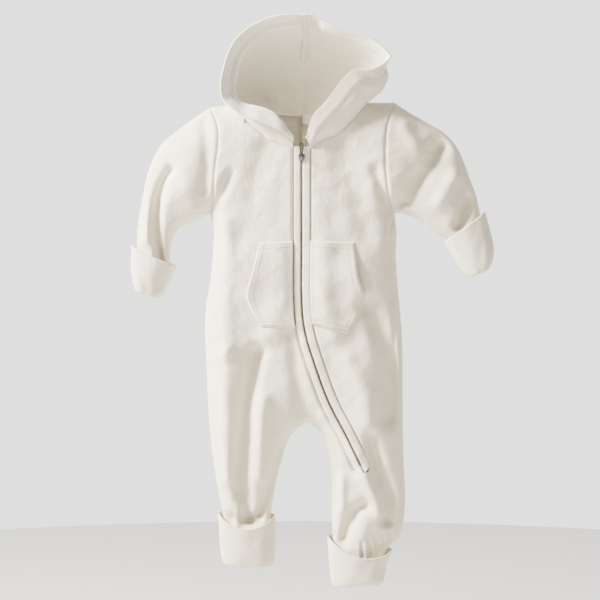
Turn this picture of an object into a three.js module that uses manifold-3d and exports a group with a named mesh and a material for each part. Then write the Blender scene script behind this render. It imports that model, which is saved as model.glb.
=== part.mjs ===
// A hooded zip-front baby coverall, hanging by its shoulders. Millimetres, +Z up, the front faces -Y.
// The origin is the seat of the hanger: shoulder height, middle of the depth. +X is the wearer's left.
import * as THREE from 'three';
import { mergeVertices } from 'three/addons/utils/BufferGeometryUtils.js';
import Module from 'manifold-3d';

const wasm = await Module();
wasm.setup();

// ---- driving dimensions -------------------------------------------------------------------------
const FABRIC = 2.2; // sweatshirt fabric, with its nap
const CUFF_FABRIC = 2.4; // two layers, pressed
const GAP = 0.4; // between neighbouring pieces
const FULLNESS = 27; // half the depth of the body
const ROUNDING = 55; // width over which the body rounds towards its outline
const LIMB_FULLNESS = 0.72; // depth of the forearms and shins, as a share of the body's
const ARMHOLE = 120; // distance of each armhole from the middle
const ZIP_HALF = 10.8; // half the width of the slot in the front that the zip fills
const WELT = [2.1, 10.4]; // near and far edge of each welt, from the middle of the zip
const TEETH = [0.9, 3.5];
const TAPE = [3.9, 13.5];
const HIP_GAP_FRONT = 19; // room for the thigh to swing forwards
const HIP_GAP_BACK = 11;
const POCKET_GAPE = 9; // how far the pocket stands off at its hand opening
const ARMHOLE_GAP = 2.6; // room at each armhole for the sleeve to swing

const CREAM = '#e3dfd4';
const CUFF_CREAM = '#dbd7cb';
const CHAIN = '#8a765e';
const TAPE_CREAM = '#d9d2c2';
const NICKEL = '#b9b6ae';
const DARK_NICKEL = '#4b443c';
const WHITE = '#f2f0ea';

// ---- the outline, seen from the front, as smooth curves of (x, z) --------------------------------
const through = (...points) => new THREE.SplineCurve(points.map(([x, z]) => new THREE.Vector2(x, z)));
const crotch = [5, -412];
const legSplit = 0.8; // room between the legs at the crotch
const neckRight = [-80, 2];
const neckLeft = [80, 3];
const zipTop = -57;

const outline = {
  rightShoulder: through(neckRight, [-ARMHOLE, -3.5]),
  rightOverarm: through([-ARMHOLE, -3.5], [-144, -20], [-164, -35], [-184, -53], [-200, -88], [-208, -125],
    [-214, -165], [-214, -220]),
  rightUnderarm: through([-ARMHOLE, -140], [-132, -149], [-145, -154], [-158, -159], [-167, -170],
    [-171, -184],
    [-173, -205], [-185, -236]),
  rightSide: through([-124, -340], [-126, -300], [-125, -262], [-119, -228], [-116, -195], [-115, -165],
    [-ARMHOLE, -140]),
  rightOuterLeg: through([-97, -588], [-99, -560], [-104, -526], [-112, -482], [-118, -440], [-122, -390],
    [-124, -340]),
  rightInseam: through([-44, -588], [-42, -560], [-40, -528], [-33, -488], [-25, -458], [-15, -430],
    [crotch[0] - legSplit, crotch[1]]),
  leftShoulder: through(neckLeft, [ARMHOLE, 3]),
  leftOverarm: through([ARMHOLE, 3], [143, -12], [164, -24], [184, -36], [203, -58], [218, -95], [229, -129],
    [239, -193]),
  leftUnderarm: through([ARMHOLE, -140], [134, -142], [148, -147], [158, -154], [166, -161], [177, -168],
    [191, -176], [211, -200]),
  leftSide: through([131, -340], [130, -300], [127, -262], [124, -228], [122, -195], [123, -165],
    [ARMHOLE, -140]),
  leftOuterLeg: through([99, -608], [104, -592], [111, -577], [127, -560], [134, -520], [132,
    -455], [131, -395], [131, -340]),
  leftInseam: through([45, -608], [42, -580], [39, -545], [38, -480], [33, -448], [22, -422],
    [crotch[0] + legSplit, crotch[1]]),
};
const zipPath = through([-0.7, zipTop], [-0.7, -130], [-0.7, -190], [-0.7, -245], [3, -290], [17, -338],
  [35, -386], [57, -428], [79, -473]);

const silhouette = Object.values(outline).map((curve) => curve.getPoints(16));

/** Distance from (x, z) to the nearest edge of the outline. */
function toOutline(x, z) {
  let nearest = Infinity;
  for (const points of silhouette) {
    for (let i = 1; i < points.length; i++) {
      const a = points[i - 1];
      const b = points[i];
      const along = ((x - a.x) * (b.x - a.x) + (z - a.y) * (b.y - a.y)) / a.distanceToSquared(b);
      const t = THREE.MathUtils.clamp(along, 0, 1);
      nearest = Math.min(nearest, Math.hypot(x - a.x - t * (b.x - a.x), z - a.y - t * (b.y - a.y)));
    }
  }
  return nearest;
}

/** Half the depth of the filled garment at (x, z): nothing at its outline, round towards the middle. */
function depthAt(x, z) {
  const rise = 1 - Math.min(toOutline(x, z) / ROUNDING, 1);
  const forearm = THREE.MathUtils.smoothstep(Math.abs(x), ARMHOLE - 10, 185);
  const shin = THREE.MathUtils.smoothstep(-z, 400, 530);
  const limb = THREE.MathUtils.lerp(1, LIMB_FULLNESS, Math.max(forearm, shin));
  return FULLNESS * limb * Math.sqrt(1 - rise * rise);
}

// ---- sheets --------------------------------------------------------------------------------------
/**
 * A closed sheet on surface(u, v), from `low` to `high` along the surface's own normal, which points
 * away from the wearer when u runs round them from their right over the front, and v runs up.
 */
function sheet(surface, nu, nv, low, high) {
  const geometry = new THREE.BoxGeometry(1, 1, 1, nu, nv, 1);
  const places = geometry.attributes.position;
  const at = (u, v) => surface(THREE.MathUtils.clamp(u, 0, 1), THREE.MathUtils.clamp(v, 0, 1));
  const step = 1e-3;
  for (let i = 0; i < places.count; i++) {
    const u = places.getX(i) + 0.5;
    const v = places.getY(i) + 0.5;
    const alongU = at(u + step, v).sub(at(u - step, v));
    const alongV = at(u, v + step).sub(at(u, v - step));
    const normal = alongU.cross(alongV).normalize();
    const offset = places.getZ(i) > 0 ? high : low;
    const point = at(u, v).addScaledVector(normal, offset);
    places.setXYZ(i, point.x, point.y, point.z);
  }
  geometry.computeVertexNormals();
  return geometry;
}

/** Even steps in, but closer together near both ends, where the garment rounds over. */
const crowd = (share) => (1 - Math.cos(Math.PI * share)) / 2;

/** The point at a share of the way along a chain of straight lines. */
function alongLines(points, share) {
  const path = new THREE.CurvePath();
  for (let i = 1; i < points.length; i++) {
    path.add(new THREE.LineCurve(new THREE.Vector2(...points[i - 1]), new THREE.Vector2(...points[i])));
  }
  return path.getPoint(share);
}

/** A four-sided patch between its edges: bottom and top run with u, start and end run with v. */
function patch(bottom, top, start, end) {
  return (u, v) => {
    const point = bottom(u).clone().multiplyScalar(1 - v).addScaledVector(top(u), v);
    point.addScaledVector(start(v), 1 - u).addScaledVector(end(v), u);
    point.addScaledVector(bottom(0), -(1 - u) * (1 - v)).addScaledVector(bottom(1), -u * (1 - v));
    return point.addScaledVector(top(0), -(1 - u) * v).addScaledVector(top(1), -u * v);
  };
}

/** Lifts a flat patch onto the garment's front (side -1) or back (side +1). */
const onBody = (flat, side, standOff = () => 0) => (u, v) => {
  const { x, y: z } = flat(u, v);
  return new THREE.Vector3(x, side * (depthAt(x, z) + GAP / 2 + standOff(u, v)), z);
};

/** A point beside the zip: `offset` to the wearer's left of its middle, a share of the way down it. */
function besideZip(offset, share) {
  const point = zipPath.getPoint(share);
  const tangent = zipPath.getTangent(share);
  return point.add(new THREE.Vector2(-tangent.y, tangent.x).multiplyScalar(offset));
}

/** The share of the way down the zip at which it reaches a height. */
function zipShareAt(z) {
  let low = 0;
  let high = 1;
  for (let i = 0; i < 30; i++) {
    const middle = (low + high) / 2;
    if (zipPath.getPoint(middle).y > z) low = middle;
    else high = middle;
  }
  return low;
}

const zipParts = { upper: [0, zipShareAt(-371)], lower: [zipShareAt(-398), 1] };

/** The crease between body and thigh, from each side seam in to the crotch. */
const creaseRight = (lift) => [[-124, -340 + lift], [crotch[0], crotch[1] + lift]];
const creaseLeft = (lift) => [[crotch[0], crotch[1] + lift], [131, -340 + lift]];

/** The side seam and armhole from the hip crease up to the shoulder. */
const sideEdge = (side, shoulderZ, lift) => (v) => {
  const underarm = 0.6;
  if (v > underarm) {
    const share = (v - underarm) / (1 - underarm);
    const x = Math.sign(side.getPoint(1).x) * (ARMHOLE - GAP);
    return new THREE.Vector2(x, THREE.MathUtils.lerp(-140, shoulderZ, share));
  }
  const point = side.getPoint(v / underarm);
  return new THREE.Vector2(point.x, point.y + lift * (1 - v / underarm));
};

const frontNeckRight = through([-80, 1], [-72, -22], [-47, -43], [-28, -51], [-11.5, zipTop]);
const frontNeckLeft = through([10.1, zipTop], [24, -47], [46, -38], [67, -18], [80, 2]);
const backNeckRight = through([0, -10], [-30, -9], [-60, -5], [-80, 1]);
const backNeckLeft = through([80, 2], [60, -5], [30, -9], [0, -10]);

/** Shoulder seam then neckline, or the other way round, with the corner on a grid line. */
function shoulderAndNeck(shoulderPoint, neck, shoulderShare, shoulderFirst) {
  const lineEnd = neck.getPoint(shoulderFirst ? 0 : 1);
  const shoulder = new THREE.Vector2(...shoulderPoint);
  return (u) => {
    const run = shoulderFirst ? u : 1 - u;
    if (run < shoulderShare) return shoulder.clone().lerp(lineEnd, run / shoulderShare);
    const share = (run - shoulderShare) / (1 - shoulderShare);
    return neck.getPoint(shoulderFirst ? share : 1 - share);
  };
}

const zipEdge = (offset, fromZ) => {
  const lowest = zipShareAt(fromZ);
  return (v) => besideZip(offset, lowest * (1 - v));
};

// ---- torso ---------------------------------------------------------------------------------------
const SHOULDER_SHARE = 0.3;

function frontRightPanel() {
  const lift = HIP_GAP_FRONT;
  const inner = zipEdge(-ZIP_HALF, -379);
  const corner = inner(0);
  const bottom = (u) => alongLines([...creaseRight(lift), [corner.x, corner.y]], u);
  const top = shoulderAndNeck([-ARMHOLE + GAP, -4], frontNeckRight, SHOULDER_SHARE, true);
  const flat = patch(bottom, top, sideEdge(outline.rightSide, -4, lift), inner);
  return sheet(onBody((u, v) => flat(crowd(u / 2) * 2, v), -1), 9, 13, -FABRIC, 0);
}

function frontLeftPanel() {
  const lift = HIP_GAP_FRONT;
  const inner = zipEdge(ZIP_HALF, -372);
  const corner = inner(0);
  const bottom = (u) => alongLines([[corner.x, corner.y], creaseLeft(lift)[1]], u);
  const top = shoulderAndNeck([ARMHOLE - GAP, 2.5], frontNeckLeft, SHOULDER_SHARE, false);
  const flat = patch(bottom, top, inner, sideEdge(outline.leftSide, 2.5, lift));
  return sheet(onBody((u, v) => flat(1 - crowd((1 - u) / 2) * 2, v), -1), 9, 13, -FABRIC, 0);
}

function backPanel(side) {
  const lift = HIP_GAP_BACK;
  const centre = (v) => new THREE.Vector2(side * GAP, THREE.MathUtils.lerp(crotch[1] + lift, -10, v));
  if (side < 0) {
    const bottom = (u) => alongLines([[-GAP, crotch[1] + lift], creaseRight(lift)[0]], u);
    const top = shoulderAndNeck([-ARMHOLE + GAP, -4], backNeckRight, SHOULDER_SHARE, false);
    const flat = patch(bottom, top, centre, sideEdge(outline.rightSide, -4, lift));
    return sheet(onBody((u, v) => flat(1 - crowd((1 - u) / 2) * 2, v), 1), 8, 11, -FABRIC, 0);
  }
  const bottom = (u) => alongLines([creaseLeft(lift)[1], [GAP, crotch[1] + lift]], u);
  const top = shoulderAndNeck([ARMHOLE - GAP, 2.5], backNeckLeft, SHOULDER_SHARE, true);
  const flat = patch(bottom, top, sideEdge(outline.leftSide, 2.5, lift), centre);
  return sheet(onBody((u, v) => flat(crowd(u / 2) * 2, v), 1), 8, 11, -FABRIC, 0);
}

/** A pocket lies on the front, sewn all round but for its slanted hand opening, where it stands off. */
function pocket(openingEdge, side) {
  const openingHalf = (u, v) => Math.sin(Math.PI * THREE.MathUtils.smoothstep(v, 0.3, 1)) *
    THREE.MathUtils.smoothstep(side < 0 ? 1 - u : u, 0.1, 0.9);
  const zipSide = (v) => besideZip(side * (ZIP_HALF + GAP), zipShareAt(THREE.MathUtils.lerp(-287, -178, v)));
  const start = side < 0 ? openingEdge : zipSide;
  const end = side < 0 ? zipSide : openingEdge;
  const bottom = (u) => start(0).clone().lerp(end(0), u);
  const top = (u) => start(1).clone().lerp(end(1), u);
  const flat = patch(bottom, top, start, end);
  const standOff = (u, v) => GAP + FABRIC + POCKET_GAPE * openingHalf(u, v);
  return sheet(onBody(flat, -1, standOff), 6, 8, -FABRIC, 0);
}

const rightPocketEdge = through([-52, -288], [-71, -252], [-65, -222], [-54, -180]);
const leftPocketEdge = through([59, -297], [79, -255], [72, -222], [67, -179]);

// ---- zip -----------------------------------------------------------------------------------------
/** A strip beside the zip, from one share of its length to another, `low` to `high` proud of the front. */
function zipStrip([near, far], side, [from, to], [low, high], steps) {
  const surface = (u, v) => {
    const offset = side < 0 ? THREE.MathUtils.lerp(-far, -near, u) : THREE.MathUtils.lerp(near, far, u);
    const { x, y: z } = besideZip(offset, THREE.MathUtils.lerp(to, from, v));
    return new THREE.Vector3(x, -depthAt(x, z), z);
  };
  return sheet(surface, 1, steps, low, high);
}

const WELT_LAYER = [-1.6, 0.9];
const TEETH_LAYER = [-3.9, -1.9];
const TAPE_LAYER = [-3.3, -2.7];

const STOP_LAYER = [-1.6, 0.3];

const SLIDER_TOP = -65;
const SLIDER_LENGTH = 11;
const SLIDER_HALF_WIDTH = 4.4;
const ZIP_X = -0.7;
const PLATE = 1.4;
const POST = 0.5; // half the width of the post between the two rows of teeth
const PLATE_FRONT = -FULLNESS - WELT_LAYER[1] - GAP - PLATE;
const PLATE_BACK = -FULLNESS - TEETH_LAYER[0] + GAP;
const BRIDGE = { width: 0.6, height: 4.2, thickness: 0.6, clear: 1.7 };
const PULL_PIN = [ZIP_X, PLATE_FRONT - 1.6, SLIDER_TOP - SLIDER_LENGTH / 2 + 1];
const PULL_LENGTH = 17;
const PULL_HALF_WIDTH = 3;
const PULL_WIRE = 1.2;
const PULL_LEAN = THREE.MathUtils.degToRad(8); // the raised pull leans back against the slider

function box(x, y, z, [cx, cy, cz]) {
  const geometry = new THREE.BoxGeometry(x, y, z);
  geometry.translate(cx, cy, cz);
  return geometry;
}

function toSolid(geometry) {
  const bare = geometry.clone();
  bare.deleteAttribute('normal');
  bare.deleteAttribute('uv');
  const merged = mergeVertices(bare, 1e-4);
  const vertProperties = new Float32Array(merged.attributes.position.array);
  const triVerts = new Uint32Array(merged.index.array);
  return new wasm.Manifold(new wasm.Mesh({ numProp: 3, vertProperties, triVerts }));
}

function toGeometry(solid) {
  const mesh = solid.getMesh();
  const geometry = new THREE.BufferGeometry();
  geometry.setAttribute('position', new THREE.BufferAttribute(new Float32Array(mesh.vertProperties), 3));
  geometry.setIndex(new THREE.BufferAttribute(new Uint32Array(mesh.triVerts), 1));
  geometry.computeVertexNormals();
  return geometry;
}

const join = (...geometries) => toGeometry(geometries.map(toSolid).reduce((whole, part) => whole.add(part)));

/** Two plates, before and behind the chain, on one post between the teeth, and the bridge for the pull. */
function zipSlider() {
  const shape = new THREE.Shape();
  const shoulder = SLIDER_LENGTH * 0.55;
  shape.moveTo(-SLIDER_HALF_WIDTH * 0.7, 0);
  shape.lineTo(SLIDER_HALF_WIDTH * 0.7, 0);
  shape.lineTo(SLIDER_HALF_WIDTH, shoulder);
  shape.absarc(0, shoulder, SLIDER_HALF_WIDTH, 0, Math.PI, false);
  const plate = (front) => {
    const geometry = new THREE.ExtrudeGeometry(shape, { depth: PLATE, bevelEnabled: false,
      curveSegments: 8 });
    geometry.rotateX(Math.PI / 2);
    geometry.translate(ZIP_X, front + PLATE, SLIDER_TOP - SLIDER_LENGTH);
    return geometry;
  };
  const post = box(2 * POST, PLATE_BACK - PLATE_FRONT, 4,
    [ZIP_X, (PLATE_FRONT + PLATE_BACK) / 2 + PLATE / 2, PULL_PIN[2] - 1]);
  const { width, height, thickness, clear } = BRIDGE;
  const bridgeFront = PULL_PIN[1] - clear - thickness;
  const reach = PLATE_FRONT - bridgeFront + 0.2;
  const foot = (side) => box(width, reach, thickness,
    [ZIP_X, bridgeFront + reach / 2, PULL_PIN[2] + side * (height - thickness) / 2]);
  const span = box(width, thickness, height, [ZIP_X, bridgeFront + thickness / 2, PULL_PIN[2]]);
  return join(plate(PLATE_FRONT), plate(PLATE_BACK), post, foot(-1), foot(1), span);
}

/** A wire pull: a short bar under the bridge and a long loop, turned up. */
function zipPull() {
  const end = PULL_LENGTH - PULL_HALF_WIDTH;
  const inside = PULL_HALF_WIDTH - PULL_WIRE;
  const outer = new THREE.Shape();
  outer.moveTo(-1.5, -0.7);
  outer.lineTo(1.5, -0.7);
  outer.lineTo(PULL_HALF_WIDTH, end);
  outer.absarc(0, end, PULL_HALF_WIDTH, 0, Math.PI, false);
  const hole = new THREE.Path();
  hole.moveTo(-0.65, 1);
  hole.lineTo(-inside, end);
  hole.absarc(0, end, inside, Math.PI, 0, true);
  hole.lineTo(0.65, 1);
  outer.holes.push(hole);
  const loop = new THREE.ExtrudeGeometry(outer, { depth: PULL_WIRE, bevelEnabled: false, curveSegments: 8 });
  loop.translate(0, 0, -PULL_WIRE / 2);
  loop.rotateX(Math.PI / 2 - PULL_LEAN);
  loop.translate(...PULL_PIN);
  return loop;
}

// ---- sleeves and legs ----------------------------------------------------------------------------
/**
 * The front (side -1) or back (side +1) of a limb, between two edges that run up it. `first` is on the
 * wearer's right at the front and on their left at the back. `out` moves a sleeve clear of its armhole.
 */
function limbPanel(first, second, side, out = 0) {
  const flat = (u, v) => first(v).clone().lerp(second(v), crowd(u)).add(new THREE.Vector2(out, 0));
  const lifted = (u, v) => {
    const { x, y: z } = flat(u, v);
    return new THREE.Vector3(x, side * (depthAt(x - out, z) + GAP / 2), z);
  };
  const rows = out === 0 ? 11 : 10;
  return sheet(lifted, rows - 3, rows, -FABRIC, 0);
}

const up = (curve) => (v) => curve.getPoint(v);
const down = (curve) => (v) => curve.getPoint(1 - v);

/** A turned-up cuff: a loose round band between two straight or curved sides, open at both ends. */
function cuff(first, second, frontFirst, [depthLow, depthHigh], dip) {
  const surface = (u, v) => {
    const across = (1 - Math.cos(2 * Math.PI * u)) / 2;
    const point = first.getPoint(v).lerp(second.getPoint(v), across);
    const side = (u < 0.5) === frontFirst ? -1 : 1;
    const depth = THREE.MathUtils.lerp(depthLow, depthHigh, Math.sqrt(v));
    const sag = side < 0 ? dip * v * v * 4 * across * (1 - across) : 0;
    const seamGap = (GAP / 2) * Math.cos(Math.PI * u) * (frontFirst ? -1 : 1);
    return new THREE.Vector3(point.x, side * depth * Math.abs(Math.sin(2 * Math.PI * u)) ** 0.8 + seamGap,
      point.y - sag);
  };
  return sheet(surface, 16, 3, -CUFF_FABRIC, 0);
}

const rightMittInner = through([-188, -251], [-175, -233], [-163, -210]);
const rightMittOuter = through([-213.6, -240], [-221.8, -212], [-221.8, -183]);
const leftMittInner = through([218, -223], [202, -203], [185, -178]);
const leftMittOuter = through([242, -212], [248, -185], [238, -140]);
const rightFootOuter = through([-104, -596], [-107, -565], [-109, -530]);
const rightFootInner = through([-36, -599], [-34, -570], [-35, -534]);
const leftFootInner = through([38, -624], [35, -592], [33, -560]);
const leftFootOuter = through([106, -622], [110, -597], [117, -578]);

/** The edge of the left leg's front along the zip: from the ankle up to the zip's end, then beside it. */
function slitEdge(side, topZ) {
  const steps = 4;
  const top = zipShareAt(topZ);
  const low = [[72, -608], [76, -560], [80, -512]].map(([x, z]) => new THREE.Vector2(x + side, z));
  const high = [];
  for (let i = 0; i <= steps; i++) {
    high.push(besideZip(side * (ZIP_HALF + 2.2), THREE.MathUtils.lerp(1, top, i / steps)));
  }
  const edge = new THREE.SplineCurve([...low, ...high]);
  return (v) => edge.getPoint(v);
}

// ---- hood ----------------------------------------------------------------------------------------
const rail = (...points) => new THREE.CatmullRomCurve3(points.map((point) => new THREE.Vector3(...point)));
const faceEdge = {
  left: rail([4, -31, -46], [12, -36, -22], [32, -38, 1], [60, -38, 27], [92, -36, 40], [112, -30, 58],
    [92, -27, 80], [52, -25, 96], [1, -24, 114]),
  right: rail([-11, -31, -47], [-30, -36, -36], [-56, -38, -27], [-82, -38, -11], [-98, -34, 12],
    [-105, -30, 40],
    [-88, -27, 76], [-48, -25, 106], [0.4, -24, 114]),
};
const crown = {
  left: rail([6, -29, -47], [24, -35, -30], [52, -34, -8], [84, -28, 16], [106, -14, 38], [112, 2, 58],
    [90, 10, 84], [50, 14, 100], [1, 14, 109]),
  right: rail([-12, -29, -49], [-32, -35, -42], [-60, -35, -32], [-88, -28, -12], [-102, -14, 14],
    [-104, 2, 42],
    [-84, 10, 78], [-46, 14, 100], [0.4, 14, 109]),
};
const nape = {
  left: rail([8, -28.5, -50], [34, -30, -38], [64, -26, -12], [92, -12, 10], [106, 6, 30], [100, 24, 44],
    [76, 34, 52], [40, 42, 56], [1, 44, 58]),
  right: rail([-13, -28.5, -52], [-38, -30, -44], [-68, -26, -24], [-92, -12, 0], [-102, 6, 22],
    [-96, 24, 38],
    [-72, 34, 50], [-38, 42, 56], [0.4, 44, 58]),
};
const NECK_RISE = 4.5; // the hood's lower edge lies just above the neckline of the body

/** The hood's lower edge, from the top of the zip round to the middle of the back. */
function neckline(side, share) {
  const curves = side === 'left' ? [frontNeckLeft, backNeckLeft] : [frontNeckRight, backNeckRight];
  const inFront = share < 0.5;
  const run = inFront ? 2 * share : 2 * share - 1;
  const place = curves[inFront ? 0 : 1].getPoint(side === 'left' ? run : 1 - run);
  const point = new THREE.Vector3(place.x, 0, place.y + NECK_RISE);
  point.y = (inFront ? -1 : 1) * depthAt(place.x, place.y);
  return point;
}

function hoodPanel(side) {
  const rails = [nape[side], crown[side], faceEdge[side]];
  const surface = (u, v) => {
    const share = side === 'left' ? u : 1 - u;
    const column = new THREE.CatmullRomCurve3([neckline(side, share),
      ...rails.map((curve) => curve.getPoint(share))]);
    const point = column.getPoint(v);
    return point.add(new THREE.Vector3(side === 'left' ? GAP / 2 : -GAP / 2 - 0.6, 0, 0));
  };
  return sheet(surface, 16, 7, -FABRIC, 0);
}

/** A small folded label under the back neck seam. */
function sizeLabel() {
  const surface = (u, v) => new THREE.Vector3(15 - 15 * u, FULLNESS - FABRIC - 1, -24 + 13 * v);
  return sheet((u, v) => surface(1 - u, v), 2, 2, -0.3, 0.3);
}

// ---- assembly ------------------------------------------------------------------------------------
const suit = new THREE.Group();

function add(name, geometry, color, roughness = 0.95, metalness = 0) {
  const mesh = new THREE.Mesh(geometry, new THREE.MeshStandardMaterial({ color, roughness, metalness }));
  mesh.name = name;
  suit.add(mesh);
}

add('front_right_panel', frontRightPanel(), CREAM);
add('front_left_panel', frontLeftPanel(), CREAM);
add('back_right_panel', backPanel(-1), CREAM);
add('back_left_panel', backPanel(1), CREAM);
add('right_pocket', pocket((v) => rightPocketEdge.getPoint(v), -1), CREAM);
add('left_pocket', pocket((v) => leftPocketEdge.getPoint(v), 1), CREAM);
for (const [part, range] of Object.entries(zipParts)) {
  const steps = part === 'upper' ? 15 : 6;
  for (const [name, side] of [['right', -1], ['left', 1]]) {
    add(`zip_welt_${name}_${part}`, zipStrip(WELT, side, range, WELT_LAYER, steps), CREAM);
    add(`zip_teeth_${name}_${part}`, zipStrip(TEETH, side, range, TEETH_LAYER, steps), CHAIN, 0.5, 0.6);
    add(`zip_tape_${name}_${part}`, zipStrip(TAPE, side, range, TAPE_LAYER, steps), TAPE_CREAM);
  }
}
for (const [name, side] of [['right', -1], ['left', 1]]) {
  const [from, to] = [zipShareAt(-58.5), zipShareAt(-61.5)];
  add(`zip_top_stop_${name}`, zipStrip([0.6, 1.8], side, [from, to], STOP_LAYER, 1), NICKEL, 0.3, 1);
}
add('zip_bottom_stop', zipStrip([-1.8, 1.8], 1, [0.975, 0.99], STOP_LAYER, 1), NICKEL, 0.3, 1);
add('zip_slider', zipSlider(), NICKEL, 0.3, 1);
add('zip_pull', zipPull(), DARK_NICKEL, 0.35, 1);
add('hood_right_panel', hoodPanel('right'), CREAM);
add('hood_left_panel', hoodPanel('left'), CREAM);
add('size_label', sizeLabel(), WHITE, 0.7);
const limbs = {
  right_sleeve: [down(outline.rightOverarm), down(outline.rightUnderarm), -ARMHOLE_GAP],
  left_sleeve: [down(outline.leftUnderarm), down(outline.leftOverarm), ARMHOLE_GAP],
  right_leg: [up(outline.rightOuterLeg), up(outline.rightInseam), 0],
};
for (const [name, [first, second, out]] of Object.entries(limbs)) {
  add(`${name}_front`, limbPanel(first, second, -1, out), CREAM);
  add(`${name}_back`, limbPanel(second, first, 1, out), CREAM);
}
add('left_leg_front_inner', limbPanel(up(outline.leftInseam), slitEdge(-1, -393.5), -1), CREAM);
add('left_leg_front_outer', limbPanel(slitEdge(1, -392), up(outline.leftOuterLeg), -1), CREAM);
add('left_leg_back', limbPanel(up(outline.leftOuterLeg), up(outline.leftInseam), 1), CREAM);
add('right_mitt_cuff', cuff(rightMittInner, rightMittOuter, false, [17, 25], 4), CUFF_CREAM);
add('left_mitt_cuff', cuff(leftMittInner, leftMittOuter, true, [17, 25], 0), CUFF_CREAM);
add('right_foot_cuff', cuff(rightFootOuter, rightFootInner, true, [21, 27], 16), CUFF_CREAM);
add('left_foot_cuff', cuff(leftFootInner, leftFootOuter, true, [21, 27], 16), CUFF_CREAM);

export default suit;
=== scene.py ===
"""Studio scene of a hooded zip-front baby coverall, hanging by its shoulders.

The garment is built panel by panel, each one a sheet of brushed cotton laid over the shape of the
hanging body, in the same frame as the moving parts it rides on.
"""
import logging
import math
from dataclasses import dataclass, field
from enum import Enum
from typing import Any, Callable, Sequence

import bmesh
import bpy
import numpy as np
from mathutils import Matrix, Vector


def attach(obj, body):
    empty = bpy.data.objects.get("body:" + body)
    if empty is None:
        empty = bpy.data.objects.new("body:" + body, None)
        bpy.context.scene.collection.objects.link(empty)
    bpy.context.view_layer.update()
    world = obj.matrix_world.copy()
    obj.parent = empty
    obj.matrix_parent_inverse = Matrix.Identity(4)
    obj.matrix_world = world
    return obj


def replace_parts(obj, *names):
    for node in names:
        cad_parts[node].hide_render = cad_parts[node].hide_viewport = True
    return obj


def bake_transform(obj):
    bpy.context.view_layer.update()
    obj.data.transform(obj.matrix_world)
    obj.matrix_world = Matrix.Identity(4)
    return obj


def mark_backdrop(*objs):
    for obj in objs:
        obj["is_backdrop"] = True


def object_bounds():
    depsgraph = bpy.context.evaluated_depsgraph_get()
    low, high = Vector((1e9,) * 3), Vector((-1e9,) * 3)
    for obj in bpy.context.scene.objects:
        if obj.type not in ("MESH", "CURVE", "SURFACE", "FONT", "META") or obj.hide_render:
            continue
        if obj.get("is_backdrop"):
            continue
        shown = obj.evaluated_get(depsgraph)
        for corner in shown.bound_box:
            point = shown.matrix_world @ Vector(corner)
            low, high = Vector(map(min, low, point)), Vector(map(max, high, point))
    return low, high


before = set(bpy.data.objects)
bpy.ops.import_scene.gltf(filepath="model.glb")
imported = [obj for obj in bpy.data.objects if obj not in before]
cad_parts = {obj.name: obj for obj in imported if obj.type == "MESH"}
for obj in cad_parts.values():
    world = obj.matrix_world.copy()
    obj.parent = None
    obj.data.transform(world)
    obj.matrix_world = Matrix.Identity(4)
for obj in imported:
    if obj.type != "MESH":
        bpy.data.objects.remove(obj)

LOG = logging.getLogger("coverall")
MM = 0.001
Points = np.ndarray
Colour = tuple[float, float, float]
Curve = Callable[[Points], Points]
Surface = Callable[[Points, Points], Points]
# A colour Mix node's own sockets, which share their names with its other sockets.
MIX_FROM, MIX_TO, MIX_RESULT = 6, 7, 2


class Side(Enum):
    """Which face of the hanging garment a panel lies on."""

    FRONT = -1
    BACK = 1


class Held(Enum):
    HUNG = "hung"
    FOLDED = "folded"


# ---- shader helpers ----
class Value:
    """A shader socket that arithmetic works on."""

    def __init__(self, tree: bpy.types.NodeTree, socket: bpy.types.NodeSocket) -> None:
        """Wrap an output socket of a tree."""
        self.tree = tree
        self.socket = socket

    def _math(self, operation: str, *terms: "Value | float") -> "Value":
        """A Math node over the terms."""
        node = self.tree.nodes.new("ShaderNodeMath")
        node.operation = operation
        for slot, term in zip(node.inputs, terms):
            if isinstance(term, Value):
                self.tree.links.new(term.socket, slot)
            else:
                slot.default_value = term
        return Value(self.tree, node.outputs[0])

    def __add__(self, other: "Value | float") -> "Value":
        """Sum."""
        return self._math("ADD", self, other)

    __radd__ = __add__

    def __sub__(self, other: "Value | float") -> "Value":
        """Difference."""
        return self._math("SUBTRACT", self, other)

    def __rsub__(self, other: float) -> "Value":
        """Difference from a number."""
        return self._math("SUBTRACT", other, self)

    def __mul__(self, other: "Value | float") -> "Value":
        """Product."""
        return self._math("MULTIPLY", self, other)

    __rmul__ = __mul__

    def sine(self) -> "Value":
        """Sine of the value in radians."""
        return self._math("SINE", self)


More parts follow.
